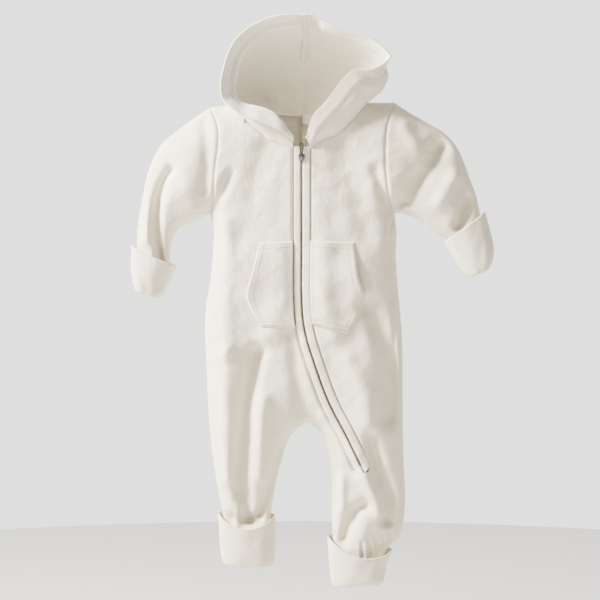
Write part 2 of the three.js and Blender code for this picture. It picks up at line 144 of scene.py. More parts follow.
class Nodes:
    """A node tree under construction."""

    def __init__(self, tree: bpy.types.NodeTree) -> None:
        """Empty a tree."""
        self.tree = tree
        self.tree.nodes.clear()

    def node(self, kind: str, settings: dict[str, Any], inputs: dict[str | int, Any]) -> bpy.types.Node:
        """Add a node.

        Args:
            kind: The node's type.
            settings: Its settings, which are set first.
            inputs: Its inputs, each a number, a colour, a Value or a socket.

        Returns:
            The node.
        """
        made = self.tree.nodes.new(kind)
        for name, value in settings.items():
            setattr(made, name, value)
        for name, value in inputs.items():
            slot = made.inputs[name]
            if isinstance(value, Value):
                self.tree.links.new(value.socket, slot)
            elif isinstance(value, bpy.types.NodeSocket):
                self.tree.links.new(value, slot)
            else:
                slot.default_value = value
        return made

    def value(self, node: bpy.types.Node, output: str | int = 0) -> Value:
        """A node's output as a Value."""
        return Value(self.tree, node.outputs[output])

    def noise(self, vector: bpy.types.NodeSocket, scale: float, detail: float) -> Value:
        """Noise over a vector, from 0 to 1."""
        inputs = {"Vector": vector, "Scale": scale, "Detail": detail}
        return self.value(self.node("ShaderNodeTexNoise", {"noise_dimensions": "3D"}, inputs))

    def blend_colour(self, share: Value, low: Colour, high: Colour) -> bpy.types.NodeSocket:
        """A colour between two, by a share."""
        inputs = {"Factor": share, MIX_FROM: (*low, 1.0), MIX_TO: (*high, 1.0)}
        made = self.node("ShaderNodeMix", {"data_type": "RGBA", "clamp_factor": True}, inputs)
        return made.outputs[MIX_RESULT]


class Look(Nodes):
    """A material under construction."""

    def __init__(self, name: str) -> None:
        """Start a material that holds only its output."""
        self.material = bpy.data.materials.new(name)
        self.material.use_nodes = True
        super().__init__(self.material.node_tree)

    def finish(self, surface: bpy.types.Node) -> bpy.types.Material:
        """Join the surface to an output and give the material."""
        self.node("ShaderNodeOutputMaterial", {}, {"Surface": surface.outputs[0]})
        return self.material


@dataclass(frozen=True)
class Fabric:
    """A knitted cotton finish."""

    name: str
    light: Colour
    dark: Colour
    wale: float = 0.0011
    knit: float = 0.30
    fuzz: float = 0.45
    sheen: float = 0.22

    def build(self) -> bpy.types.Material:
        """The material: wales and loops in the fabric's own coordinates, under a brushed fuzz."""
        look = Look(self.name)
        cloth = look.node("ShaderNodeUVMap", {"uv_map": "Fabric"}, {})
        place = look.node("ShaderNodeSeparateXYZ", {}, {"Vector": cloth.outputs[0]})
        turn = 2 * math.pi
        across = (look.value(place, "X") * (turn / self.wale)).sine()
        along = (look.value(place, "Y") * (turn / (self.wale * 0.8))).sine()
        fuzz = look.noise(cloth.outputs[0], 900.0, 4.0)
        lint = look.noise(cloth.outputs[0], 260.0, 3.0)
        wear = look.noise(cloth.outputs[0], 26.0, 3.0)
        crumple = look.noise(cloth.outputs[0], 62.0, 2.0)
        relief = ((across * 0.5 + along * 0.28) * self.knit + fuzz * self.fuzz * 2.2 + lint * 0.9
                  + crumple * 8.0 + wear * 10.0)
        bump = look.node("ShaderNodeBump", {}, {"Strength": 0.55, "Distance": 0.00035, "Height": relief})
        share = wear * 0.9 + fuzz * 0.35 + lint * 0.25 - 0.22
        colour = look.blend_colour(share, self.dark, self.light)
        shader = look.node("ShaderNodeBsdfPrincipled", {}, {
            "Base Color": colour, "Roughness": fuzz * 0.12 + 0.84, "Normal": bump.outputs[0],
            "Sheen Weight": self.sheen, "Sheen Roughness": 0.45, "IOR": 1.35,
        })
        return look.finish(shader)


@dataclass(frozen=True)
class Metal:
    """A plated metal finish with fine wear."""

    name: str
    colour: Colour
    rough: float

    def build(self) -> bpy.types.Material:
        """The material."""
        look = Look(self.name)
        place = look.node("ShaderNodeTexCoord", {}, {})
        grain = look.noise(place.outputs["Object"], 1400.0, 3.0)
        scuff = look.noise(place.outputs["Object"], 180.0, 4.0)
        relief = {"Strength": 0.3, "Distance": 0.00006, "Height": grain + scuff}
        bump = look.node("ShaderNodeBump", {}, relief)
        shade = tuple(0.7 * c for c in self.colour)
        shader = look.node("ShaderNodeBsdfPrincipled", {}, {
            "Base Color": look.blend_colour(scuff * 1.3 - 0.1, shade, self.colour), "Metallic": 1.0,
            "Roughness": scuff * 0.2 + self.rough, "Normal": bump.outputs[0],
        })
        return look.finish(shader)


@dataclass(frozen=True)
class Woven:
    """A woven, stitched or moulded trim finish, in the piece's own coordinates."""

    name: str
    light: Colour
    dark: Colour
    rough: float = 0.7
    pitch: float = 0.0007
    sheen: float = 0.1

    def build(self) -> bpy.types.Material:
        """The material."""
        look = Look(self.name)
        place = look.node("ShaderNodeTexCoord", {}, {})
        part = look.node("ShaderNodeSeparateXYZ", {}, {"Vector": place.outputs["Object"]})
        turn = 2 * math.pi / self.pitch
        weave = (look.value(part, "X") * turn).sine() * (look.value(part, "Z") * turn).sine()
        grain = look.noise(place.outputs["Object"], 700.0, 3.0)
        height = weave * 0.5 + grain
        bump = look.node("ShaderNodeBump", {}, {"Strength": 0.5, "Distance": 0.00015, "Height": height})
        shader = look.node("ShaderNodeBsdfPrincipled", {}, {
            "Base Color": look.blend_colour(grain * 1.4 - 0.2, self.dark, self.light),
            "Roughness": grain * 0.15 + self.rough, "Normal": bump.outputs[0], "Sheen Weight": self.sheen,
        })
        return look.finish(shader)


Finish = Fabric | Metal | Woven


@dataclass
class Finishes:
    """Every finish of the garment."""

    body: Fabric = Fabric("body fleece", (0.74, 0.675, 0.52), (0.665, 0.595, 0.435))
    hood: Fabric = Fabric("hood fleece", (0.75, 0.685, 0.535), (0.675, 0.605, 0.45))
    # Painted light: the inner face is the same cream fleece as the outside, given a paler colour to lift the
    # shade inside the hood and neck.
    lit_lining: Fabric = Fabric("inner loopback_painted_light", (0.84, 0.785, 0.665), (0.77, 0.71, 0.58), knit=0.5)
    cuff: Fabric = Fabric("cuff jersey", (0.705, 0.64, 0.495), (0.63, 0.56, 0.415), wale=0.0009)
    welt: Fabric = Fabric("welt jersey", (0.77, 0.71, 0.57), (0.70, 0.63, 0.485), wale=0.0009)
    # Painted shade: the thread is really cream; this brown stands in for the shadow in and around each stitch
    # hole.
    shaded_thread: Woven = Woven("shaded_thread", (0.42, 0.36, 0.265), (0.30, 0.25, 0.175))
    # Painted shade: the zip's tape and coil are really cream; these tan and brown colours stand in for the
    # shadow in the narrow gap between the welts.
    shaded_tape: Woven = Woven("zip tape", (0.50, 0.44, 0.33), (0.38, 0.32, 0.23))
    shaded_coil: Woven = Woven("zip coil", (0.44, 0.34, 0.235), (0.32, 0.24, 0.16), rough=0.45)
    satin: Woven = Woven("label satin", (0.86, 0.85, 0.82), (0.80, 0.78, 0.74), rough=0.35, sheen=0.3)
    nickel: Metal = Metal("nickel", (0.62, 0.60, 0.56), 0.24)
    dark_nickel: Metal = Metal("dark nickel", (0.17, 0.15, 0.125), 0.3)
    built: dict[str, bpy.types.Material] = field(default_factory=dict)

    def get(self, finish: Finish) -> bpy.types.Material:
        """The built material of a finish, made the first time it is asked for."""
        if finish.name not in self.built:
            self.built[finish.name] = finish.build()
        return self.built[finish.name]


# ---- curves and fields ----
def spline(knots: Points, share: Points) -> Points:
    """A smooth curve through knots.

    Args:
        knots: The knots along the first axis; with a middle axis, one set of knots per share.
        share: How far along to look, from 0 to 1.

    Returns:
        A point per share.
    """
    last = len(knots) - 1
    place = np.clip(share, 0, 1) * last
    low = np.minimum(place.astype(int), last - 1)
    rest = (place - low)[:, None]
    rows = [np.clip(low + step, 0, last) for step in (-1, 0, 1, 2)]
    which = np.arange(len(share))
    p0, p1, p2, p3 = (knots[row, which] if knots.ndim == 3 else knots[row] for row in rows)
    v0, v1 = (p2 - p0) / 2, (p3 - p1) / 2
    return ((2 * p1 - 2 * p2 + v0 + v1) * rest**3 + (-3 * p1 + 3 * p2 - 2 * v0 - v1) * rest**2
            + v0 * rest + p1)


def curve(*knots: Sequence[float], steps: int = 48) -> Points:
    """A smooth chain of points through knots."""
    return spline(np.array(knots, float), np.linspace(0, 1, steps))


def smooth(value: Points, low: float, high: float) -> Points:
    """0 below low, 1 above high and an easy rise between."""
    share = np.clip((value - low) / (high - low), 0, 1)
    return share * share * (3 - 2 * share)


def distance(flat: Points, chain: Points) -> Points:
    """How far flat points are from a chain of points.

    Args:
        flat: The flat points.
        chain: The chain.

    Returns:
        The shortest distance from each point to the chain.
    """
    best = np.full(len(flat), np.inf)
    for start, end in zip(chain[:-1], chain[1:]):
        along = end - start
        share = np.clip(((flat - start) @ along) / max(along @ along, 1e-9), 0, 1)
        gap = flat - start - share[:, None] * along
        best = np.minimum(best, (gap * gap).sum(axis=1))
    return np.sqrt(best)


def crowd(share: Points) -> Points:
    """Even steps in, closer together near both ends."""
    return (1 - np.cos(np.pi * share)) / 2


def by_height(chain: Points, knots: Sequence[tuple[float, float]]) -> Curve:
    """A chain that rises in z, read by a share that reaches given heights.

    Args:
        chain: Points (x, z) with z rising.
        knots: Pairs of share and height.

    Returns:
        A function from shares to points.
    """
    shares, heights = np.array(knots, float).T

    def read(share: Points) -> Points:
        """The chain's point at each share."""
        z = np.interp(share, shares, heights)
        return np.stack([np.interp(z, chain[:, 1], chain[:, 0]), z], axis=1)

    return read


def coons(bottom: Curve, top: Curve, start: Curve, end: Curve) -> Surface:
    """A four-sided flat patch.

    Args:
        bottom: Its edge at v = 0, by u.
        top: Its edge at v = 1, by u.
        start: Its edge at u = 0, by v.
        end: Its edge at u = 1, by v.

    Returns:
        A function from shares u and v to points.
    """

    def patch(u: Points, v: Points) -> Points:
        """The patch's point at each u and v."""
        zero, one = np.zeros_like(u), np.ones_like(u)
        a, b = u[:, None], v[:, None]
        inside = bottom(u) * (1 - b) + top(u) * b + start(v) * (1 - a) + end(v) * a
        corners = (bottom(zero) * (1 - a) * (1 - b) + bottom(one) * a * (1 - b)
                   + top(zero) * (1 - a) * b + top(one) * a * b)
        return inside - corners

    return patch


def straight(start: Sequence[float], end: Sequence[float]) -> Curve:
    """The line between two points."""
    a, b = np.array(start, float), np.array(end, float)
    return lambda share: a + (b - a) * share[:, None]


def chained(chain: Points) -> Curve:
    """A chain of points read by the share of its length."""
    steps = np.linalg.norm(np.diff(chain, axis=0), axis=1)
    reach = np.concatenate([[0], np.cumsum(steps)]) / steps.sum()
    return lambda share: np.stack([np.interp(share, reach, axis) for axis in chain.T], axis=1)


def joined(first: Points, second: Points, share: float) -> Curve:
    """Two chains, end to end.

    Args:
        first: The first chain.
        second: The chain after it.
        share: Where they meet.

    Returns:
        A function from shares to points.
    """
    a, b = chained(first), chained(second)

    def read(place: Points) -> Points:
        """The point at each place along both chains."""
        low = a(np.clip(place / share, 0, 1))
        high = b(np.clip((place - share) / (1 - share), 0, 1))
        return np.where((place < share)[:, None], low, high)

    return read


@dataclass(frozen=True)
class Fold:
    """A soft ridge (height above 0) or valley along a line down the cloth, in millimetres."""

    path: tuple[tuple[float, float], ...]
    width: float
    height: float

    def lift(self, flat: Points) -> Points:
        """How far the fold lifts each flat point."""
        gap = distance(flat, curve(*self.path, steps=14))
        return self.height * np.exp(-((gap / self.width) ** 2))


@dataclass
class Pattern:
    """The flat outline of the hanging garment and how far the cloth stands off its middle plane.

    Sizes are in millimetres: half the garment's depth, how far in from its outline it reaches that depth,
    the share that its forearms and shins lose, how strongly the folds stand, and how far from the outline
    they die away.
    """

    half_depth: float = 27.0
    edge_round: float = 55.0
    limb_loss: float = 0.28
    fold_gain: float = 2.0
    fold_margin: float = 16.0

    def __post_init__(self) -> None:
        """Lay out the edges, in millimetres across (wearer's left positive) and up."""
        self.right_shoulder = curve((-80, 2), (-120, -3.5), steps=8)
        self.right_over = curve((-120, -3.5), (-144, -20), (-164, -35), (-184, -53), (-200, -88),
                                (-208, -125), (-214, -165), (-214, -220))
        self.right_under = curve((-120, -140), (-132, -149), (-145, -154), (-158, -159), (-167, -170),
                                 (-171, -184), (-173, -205), (-185, -236))
        self.right_side = curve((-124, -340), (-126, -300), (-125, -262), (-119, -228), (-116, -195),
                                (-115, -165), (-120, -140))
        self.right_outer = curve((-97, -588), (-99, -560), (-104, -526), (-112, -482), (-118, -440),
                                 (-122, -390), (-124, -340))
        self.right_inseam = curve((-44, -588), (-42, -560), (-40, -528), (-33, -488), (-25, -458),
                                  (-15, -430), (5, -412))
        self.left_shoulder = curve((80, 3), (120, 3), steps=8)
        self.left_over = curve((120, 3), (143, -12), (164, -24), (184, -36), (203, -58), (218, -95),
                               (229, -129), (239, -193))
        self.left_under = curve((120, -140), (134, -142), (148, -147), (158, -154), (166, -161), (177, -168),
                                (191, -176), (211, -200))
        self.left_side = curve((131, -340), (130, -300), (127, -262), (124, -228), (122, -195), (123, -165),
                               (120, -140))
        self.left_outer = curve((99, -608), (104, -592), (111, -577), (127, -560), (134, -520), (132, -455),
                                (131, -395), (131, -340))
        self.left_inseam = curve((45, -608), (42, -580), (39, -545), (38, -480), (33, -448), (22, -422),
                                 (5, -412))
        self.neck_right = curve((-80, 1), (-72, -22), (-47, -43), (-28, -51), (-11.5, -57))
        self.neck_left = curve((10.1, -57), (24, -47), (46, -38), (67, -18), (80, 2))
        self.nape_right = curve((0, -10), (-30, -9), (-60, -5), (-80, 1))
        self.nape_left = curve((80, 2), (60, -5), (30, -9), (0, -10))
        self.right_armhole = curve((-120, -140), (-116, -132), (-114, -114), (-112, -85), (-108, -55),
                                   (-109, -30), (-120, -3.5))
        self.left_armhole = curve((120, -140), (114, -128), (110, -107), (107, -81), (107, -57), (109, -34),
                                  (120, 3))
        self.zip_line = curve((-0.7, -57), (-0.7, -130), (-0.7, -190), (-0.7, -245), (3, -290), (17, -338),
                              (35, -386), (57, -428), (79.5, -474.5), steps=160)
        self.edges = [self.right_shoulder, self.right_over, self.right_under, self.right_side,
                      self.right_outer, self.right_inseam, self.left_shoulder, self.left_over,
                      self.left_under, self.left_side, self.left_outer, self.left_inseam]
        self.side_seam = curve((120, -395), (120, -340), (119, -300), (117, -262), (114, -228), (113, -195),
                               (114, -165), (120, -140))

    def to_outline(self, flat: Points) -> Points:
        """How far in from the outline each flat point is."""
        return np.min([distance(flat, edge) for edge in self.edges], axis=0)

    def depth(self, flat: Points, gap: Points) -> Points:
        """How far the cloth stands off the middle plane, before folds.

        Args:
            flat: The flat points.
            gap: How far in from the outline each of them is.

        Returns:
            The depth at each point.
        """
        rise = 1 - np.minimum(gap / self.edge_round, 1)
        forearm = smooth(np.abs(flat[:, 0]), 110, 185)
        shin = smooth(-flat[:, 1], 400, 530)
        limb = 1 - self.limb_loss * np.maximum(forearm, shin)
        return self.half_depth * limb * np.sqrt(np.maximum(1 - rise * rise, 0))

    def ripple(self, flat: Points, side: Side) -> Points:
        """Slack in the cloth: long soft waves and small puckers.

        Args:
            flat: The flat points.
            side: The face that they lie on.

        Returns:
            How far the slack lifts each point.
        """
        x, z = flat[:, 0], flat[:, 1]
        turn = 1.7 if side is Side.BACK else 0.0
        long = np.sin(x / 17 + z / 61 + turn) * np.sin(z / 47 - x / 90 + 1.3 + turn)
        short = np.sin(x / 7.3 - z / 15 + 2 * np.sin(z / 31)) * np.sin(z / 11.0 + x / 19 + turn)
        fine = np.sin(x / 4.9 + 3 * np.sin(z / 23 + turn)) * np.sin(z / 6.7 + 2 * np.sin(x / 29))
        return 1.3 * long + 0.5 * short + 0.14 * fine

    def freedom(self, flat: Points, side: Side) -> Points:
        """How freely the cloth folds: not at all beside the stiff straight run of the zip.

        Args:
            flat: The flat points.
            side: The face that they lie on.

        Returns:
            A share for each point, from 0 for flat to 1 for free.
        """
        if side is Side.BACK:
            return np.ones(len(flat))
        beside = smooth(np.abs(flat[:, 0] - self.zip_line[0, 0]), 5, 24)
        return 1 - (1 - beside) * smooth(flat[:, 1], -290, -252)

    def stand(self, flat: Points, side: Side) -> Points:
        """How far the finished cloth stands off the middle plane, folds included.

        Args:
            flat: The flat points.
            side: The face that they lie on.

        Returns:
            The height of the cloth at each point.
        """
        gap = self.to_outline(flat)
        folds = FRONT_FOLDS if side is Side.FRONT else BACK_FOLDS
        lift = self.fold_gain * sum((fold.lift(flat) for fold in folds), np.zeros(len(flat)))
        lift += self.ripple(flat, side)
        return self.depth(flat, gap) + lift * smooth(gap, 0, self.fold_margin) * self.freedom(flat, side)

    def place(self, flat: Points, side: Side, lift: Points | float = 0.0) -> Points:
        """Flat points on the cloth's face, in millimetres of the row frame."""
        y = side.value * (self.stand(flat, side) + lift)
        return np.stack([flat[:, 0], y, flat[:, 1]], axis=1)

    def beside_zip(self, offset: Points | float, share: Points) -> Points:
        """Points beside the zip's middle.

        Args:
            offset: How far beside it, towards the wearer's left.
            share: How far down it, from 0 to 1.

        Returns:
            The flat points.
        """
        step = 1 / (len(self.zip_line) - 1)
        places = np.linspace(0, 1, len(self.zip_line))

        def middle(part: Points) -> Points:
            """The zip's own middle."""
            return np.stack([np.interp(part, places, axis) for axis in self.zip_line.T], axis=1)

        along = middle(np.minimum(share + step, 1)) - middle(np.maximum(share - step, 0))
        along /= np.linalg.norm(along, axis=1)[:, None]
        across = np.stack([-along[:, 1], along[:, 0]], axis=1)
        return middle(share) + across * np.asarray(offset).reshape(-1, 1)

    def zip_share(self, height: Points) -> Points:
        """The share of the way down the zip at which it reaches a height."""
        places = np.linspace(0, 1, len(self.zip_line))
        return np.interp(-height, -self.zip_line[:, 1], places)


FRONT_FOLDS = (
    Fold(((-57, -322), (-69, -372), (-73, -416), (-78, -487), (-69, -536)), 10, -7.0),
    Fold(((-26, -446), (-38, -490), (-55, -532)), 6, -5.0),
    Fold(((-95, -534), (-72, -541), (-48, -537)), 8, -3.0),
    Fold(((-98, -318), (-99, -400), (-97, -480)), 11, 3.2),
    Fold(((-50, -383), (-52, -430), (-53, -481)), 10, 3.4),
    Fold(((88, -429), (99, -473), (111, -503), (109, -538)), 8, -5.5),
    Fold(((79, -519), (66, -530), (54, -562)), 8, -5.0),
    Fold(((80, -480), (92, -505), (101, -528)), 8, 3.2),
    Fold(((49, -485), (49, -522)), 8, 3.0),
    Fold(((30, -403), (52, -426), (72, -450)), 9, 2.6),
    Fold(((114, -556), (116, -572)), 3.5, -1.6),
    Fold(((104, -558), (106, -577)), 3, -1.4),
    Fold(((95, -562), (97, -580)), 3, -1.2),
    Fold(((86, -562), (88, -582)), 3, -1.3),
    Fold(((77, -566), (78, -584)), 3, -1.1),
    Fold(((86, -262), (100, -295), (113, -331), (114, -403)), 13, -5.5),
    Fold(((-98, -156), (-97, -240), (-98, -318)), 12, 2.4),
    Fold(((28, -190), (31, -253), (40, -300)), 14, 2.6),
    Fold(((-30, -190), (-28, -250), (-40, -300)), 16, 1.8),
    Fold(((-12, -300), (-6, -350), (2, -400)), 10, -2.4),
    Fold(((-45, -60), (-66, -110), (-74, -170)), 16, -1.8),
    Fold(((50, -60), (70, -110), (84, -170)), 16, -1.9),
    Fold(((60, -330), (78, -370), (88, -420)), 13, 2.6),
    Fold(((-120, -140), (-104, -118), (-92, -92)), 7, -2.6),
    Fold(((121, -140), (104, -116), (94, -86)), 7, -2.4),
    Fold(((-169, -86), (-182, -110), (-188, -160), (-181, -202)), 6.5, -4.6),
    Fold(((-127, -20), (-122, -70), (-125, -112)), 7, -1.6),
    Fold(((-200, -120), (-202, -175)), 7, 2.6),
    Fold(((-146, -66), (-150, -110)), 15, 1.8),
    Fold(((126, -137), (148, -98), (179, -54)), 12, -6.0),
    Fold(((204, -158), (218, -122)), 8, -5.0),
    Fold(((176, -128), (196, -96)), 11, 3.0),
    Fold(((132, -30), (150, -62), (152, -80)), 10, 2.4),
    Fold(((-80, -520), (-88, -560)), 6, 1.6),
)
BACK_FOLDS = (
    Fold(((-60, -330), (-74, -420), (-70, -530)), 12, -5.0),
    Fold(((95, -340), (90, -430), (98, -540)), 12, -5.0),
    Fold(((-40, -60), (-55, -150), (-50, -260)), 18, -2.6),
    Fold(((46, -60), (60, -150), (56, -260)), 18, -2.4),
    Fold(((-30, -300), (-44, -350), (-50, -410)), 14, 3.0),
    Fold(((34, -300), (48, -350), (60, -410)), 14, 3.0),
    Fold(((-128, -120), (-158, -90), (-186, -110)), 11, -4.5),
    Fold(((130, -120), (160, -86), (192, -90)), 11, -4.5),
    Fold(((-180, -140), (-192, -190)), 10, -4.0),
    Fold(((196, -130), (214, -170)), 10, -4.0),
)


# ---- cloth ----
@dataclass
class Cut:
    """The measured flat size of a sheet, in metres."""

    width: float = 0.0
    length: float = 0.0
    area: float = 0.0

    def add(self, rows: Points) -> None:
        """Measure a grid of placed points and add it beside what is there.

        Args:
            rows: The points, rows by columns.
        """
        across = np.linalg.norm(np.diff(rows, axis=1), axis=2).sum(axis=1).max()
        along = np.linalg.norm(np.diff(rows, axis=0), axis=2).sum(axis=0).max()
        first = np.cross(rows[1:, :-1] - rows[:-1, :-1], rows[:-1, 1:] - rows[:-1, :-1])
        second = np.cross(rows[1:, :-1] - rows[1:, 1:], rows[:-1, 1:] - rows[1:, 1:])
        self.area += (np.linalg.norm(first, axis=2).sum() + np.linalg.norm(second, axis=2).sum()) / 2
        self.width += across
        self.length = max(self.length, along)


class Cloth:
    """A sheet of fabric made of one or more grids that share their edges."""

    def __init__(self, name: str) -> None:
        """Start an empty sheet."""
        self.name = name
        self.mesh = bmesh.new()
        self.fabric = self.mesh.verts.layers.float_vector.new("fabric")
        self.cut = Cut()

    def grid(self, surface: Surface, across: int, along: int, shift: float = 0.0) -> None:
        """Lay a grid on a surface.

        Args:
            surface: Gives points in millimetres from shares u and v.
            across: Cells along u.
            along: Cells along v.
            shift: How far over its fabric coordinates start, in metres.
        """
        made = bmesh.ops.create_grid(self.mesh, x_segments=across, y_segments=along, size=0.5)["verts"]
        flat = np.array([vert.co[:2] for vert in made]) + 0.5
        points = surface(flat[:, 0], flat[:, 1]) * MM
        column = np.rint(flat[:, 0] * across).astype(int)
        row = np.rint(flat[:, 1] * along).astype(int)
        rows = np.zeros((along + 1, across + 1, 3))
        rows[row, column] = points
        self.cut.add(rows)
        over = np.zeros(rows.shape[:2])
        over[:, 1:] = np.cumsum(np.linalg.norm(np.diff(rows, axis=1), axis=2), axis=1)
        over -= over[:, across // 2][:, None]
        up = np.zeros(rows.shape[:2])
        up[1:] = np.cumsum(np.linalg.norm(np.diff(rows, axis=0), axis=2), axis=0)
        for vert, point, i, j in zip(made, points, row, column):
            vert.co = point
            vert[self.fabric] = (over[i, j] + shift, up[i, j], 0.0)

    def close(self, gap: float = 0.00005) -> None:
        """Sew together the grids' shared edges."""
        bmesh.ops.remove_doubles(self.mesh, verts=self.mesh.verts, dist=gap)

    def face_out(self, centre: Sequence[float]) -> None:
        """Turn the faces over if most of their area looks towards a point.

        Args:
            centre: The point, in metres.
        """
        self.mesh.normal_update()
        middle = Vector(centre)
        away = sum(face.normal.dot(face.calc_center_median() - middle) * face.calc_area()
                   for face in self.mesh.faces)
        if away < 0:
            bmesh.ops.reverse_faces(self.mesh, faces=self.mesh.faces)

    def build(self, outer: bpy.types.Material, inner: bpy.types.Material | None = None,
              thickness: float = 1.9) -> bpy.types.Object:
        """Make the object.

        Args:
            outer: The finish of its face.
            inner: The finish of its back, if that differs.
            thickness: The fabric's thickness in millimetres, inward; 0 leaves the mesh as it is.

        Returns:
            The object, in the scene.
        """
        mesh = bpy.data.meshes.new(self.name)
        places = np.array([tuple(vert[self.fabric])[:2] for vert in self.mesh.verts], np.float32)
        self.mesh.to_mesh(mesh)
        self.mesh.free()
        corners = np.zeros(len(mesh.loops), np.int32)
        mesh.loops.foreach_get("vertex_index", corners)
        mesh.uv_layers.new(name="Fabric").data.foreach_set("uv", places[corners].ravel())
        mesh.shade_smooth()
        mesh.materials.append(outer)
        if inner is not None:
            mesh.materials.append(inner)
        made = bpy.data.objects.new(self.name, mesh)
        bpy.context.scene.collection.objects.link(made)
        if thickness:
            solid = made.modifiers.new("Thickness", "SOLIDIFY")
            solid.thickness = thickness * MM
            solid.offset = -1
            if inner is not None:
                solid.material_offset = 1
        return made


def declare(piece: bpy.types.Object, cut: Cut, held: Held, extras: Sequence[bpy.types.Object] = ()) -> None:
    """Work out the clamped area of a sheet's measured cut, which nothing keeps.

    Args:
        piece: The sheet; not used.
        cut: Its measured flat size.
        held: How it is held; not used.
        extras: The pieces sewn to it.
    """
    box = cut.width * cut.length
    area = min(max(cut.area, 0.31 * box), box)
    list(extras)


def frame_at(point: Sequence[float], along: Sequence[float], out: Sequence[float],
             size: Sequence[float]) -> Matrix:
    """The matrix of a small part, in metres.

    Args:
        point: Its middle.
        along: The way that it lies.
        out: The way that it faces.
        size: Its size along, across and out.

    Returns:
        The matrix.
    """
    run = Vector(along).normalized()
    side = run.cross(Vector(out)).normalized()
    face = side.cross(run)
    columns = (run * size[0], side * size[1], face * size[2])
    made = Matrix([[column[i] for column in columns] for i in range(3)]).to_4x4()
    made.translation = Vector(point)
    return made


def resample(chain: Points, pitch: float) -> Points:
    """Points at an even pitch along a chain."""
    length = np.linalg.norm(np.diff(chain, axis=0), axis=1).sum()
    return chained(chain)(np.linspace(0, 1, max(int(length / pitch), 2)))


class Row:
    """A row of small parts, such as stitches or coil teeth, along chains of points."""

    def __init__(self, name: str, size: tuple[float, float, float], pitch: float) -> None:
        """Set the parts' size (along, across, out) and their pitch, in millimetres."""
        self.name = name
        self.size = tuple(side * MM for side in size)
        self.pitch = pitch
        self.mesh = bmesh.new()

    def along(self, chain: Points, out: Points | Sequence[float], lift: float = 0.0) -> None:
        """Lay parts along a chain.

        Args:
            chain: The chain, in millimetres.
            out: The way that it faces, once or at each of its points.
            lift: How far off the chain the parts lie.
        """
        places = resample(chain, self.pitch)
        facing = np.broadcast_to(np.asarray(out, float), chain.shape)
        ways = resample_like(facing, len(places))
        runs = np.gradient(places, axis=0)
        for place, run, way in zip(places, runs, ways):
            way = way / np.linalg.norm(way)
            matrix = frame_at((place + way * lift) * MM, run, way, self.size)
            bmesh.ops.create_icosphere(self.mesh, subdivisions=1, radius=0.5, matrix=matrix)

    def build(self, material: bpy.types.Material) -> bpy.types.Object:
        """Make the object."""
        mesh = bpy.data.meshes.new(self.name)
        self.mesh.to_mesh(mesh)
        self.mesh.free()
        mesh.shade_smooth()
        mesh.materials.append(material)
        made = bpy.data.objects.new(self.name, mesh)
        bpy.context.scene.collection.objects.link(made)
        return made


def resample_like(values: Points, count: int) -> Points:
    """Values spread evenly over another count."""
    places = np.linspace(0, 1, len(values))
    return np.stack([np.interp(np.linspace(0, 1, count), places, axis) for axis in values.T], axis=1)


@dataclass(frozen=True)
class Bend:
    """Where a piece stops following one body and starts to follow another, in metres."""

    first: str
    second: str
    start: tuple[float, float, float]
    end: tuple[float, float, float]

    def apply(self, piece: bpy.types.Object) -> None:
        """Bake a piece's placement into its mesh."""
        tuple(self.start)
        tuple(self.end)
        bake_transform(piece)


RIGHT_LEG = Bend("torso", "right_leg", (0.005, 0.0, -0.405), (-0.030, 0.0, -0.466))
LEFT_LEG = Bend("torso", "left_leg", (0.005, 0.0, -0.405), (0.040, 0.0, -0.466))
RIGHT_ARM = Bend("torso", "right_sleeve", (-0.121, 0.0, 0.0), (-0.180, 0.0, 0.0))
LEFT_ARM = Bend("torso", "left_sleeve", (0.121, 0.0, 0.0), (0.180, 0.0, 0.0))
HOOD = Bend("torso", "hood", (0.0, 0.0, 0.004), (0.0, 0.0, 0.066))


STITCH = (2.4, 1.1, 0.9)
STITCH_PITCH = 3.2
FORWARD = (0, -1, 0)


def seam_dip(flat: Points, seams: Sequence[Points], depth: float = 2.2, width: float = 2.0) -> Points:
    """How far the cloth is pulled in along its seams.

    Args:
        flat: The flat points.
        seams: The chains of the seams.
        depth: How far it is pulled in on a seam.
        width: How far beside a seam that fades.

    Returns:
        The lift at each point, below 0.
    """
    gap = np.min([distance(flat, seam) for seam in seams], axis=0)
    return -depth * np.exp(-((gap / width) ** 2))


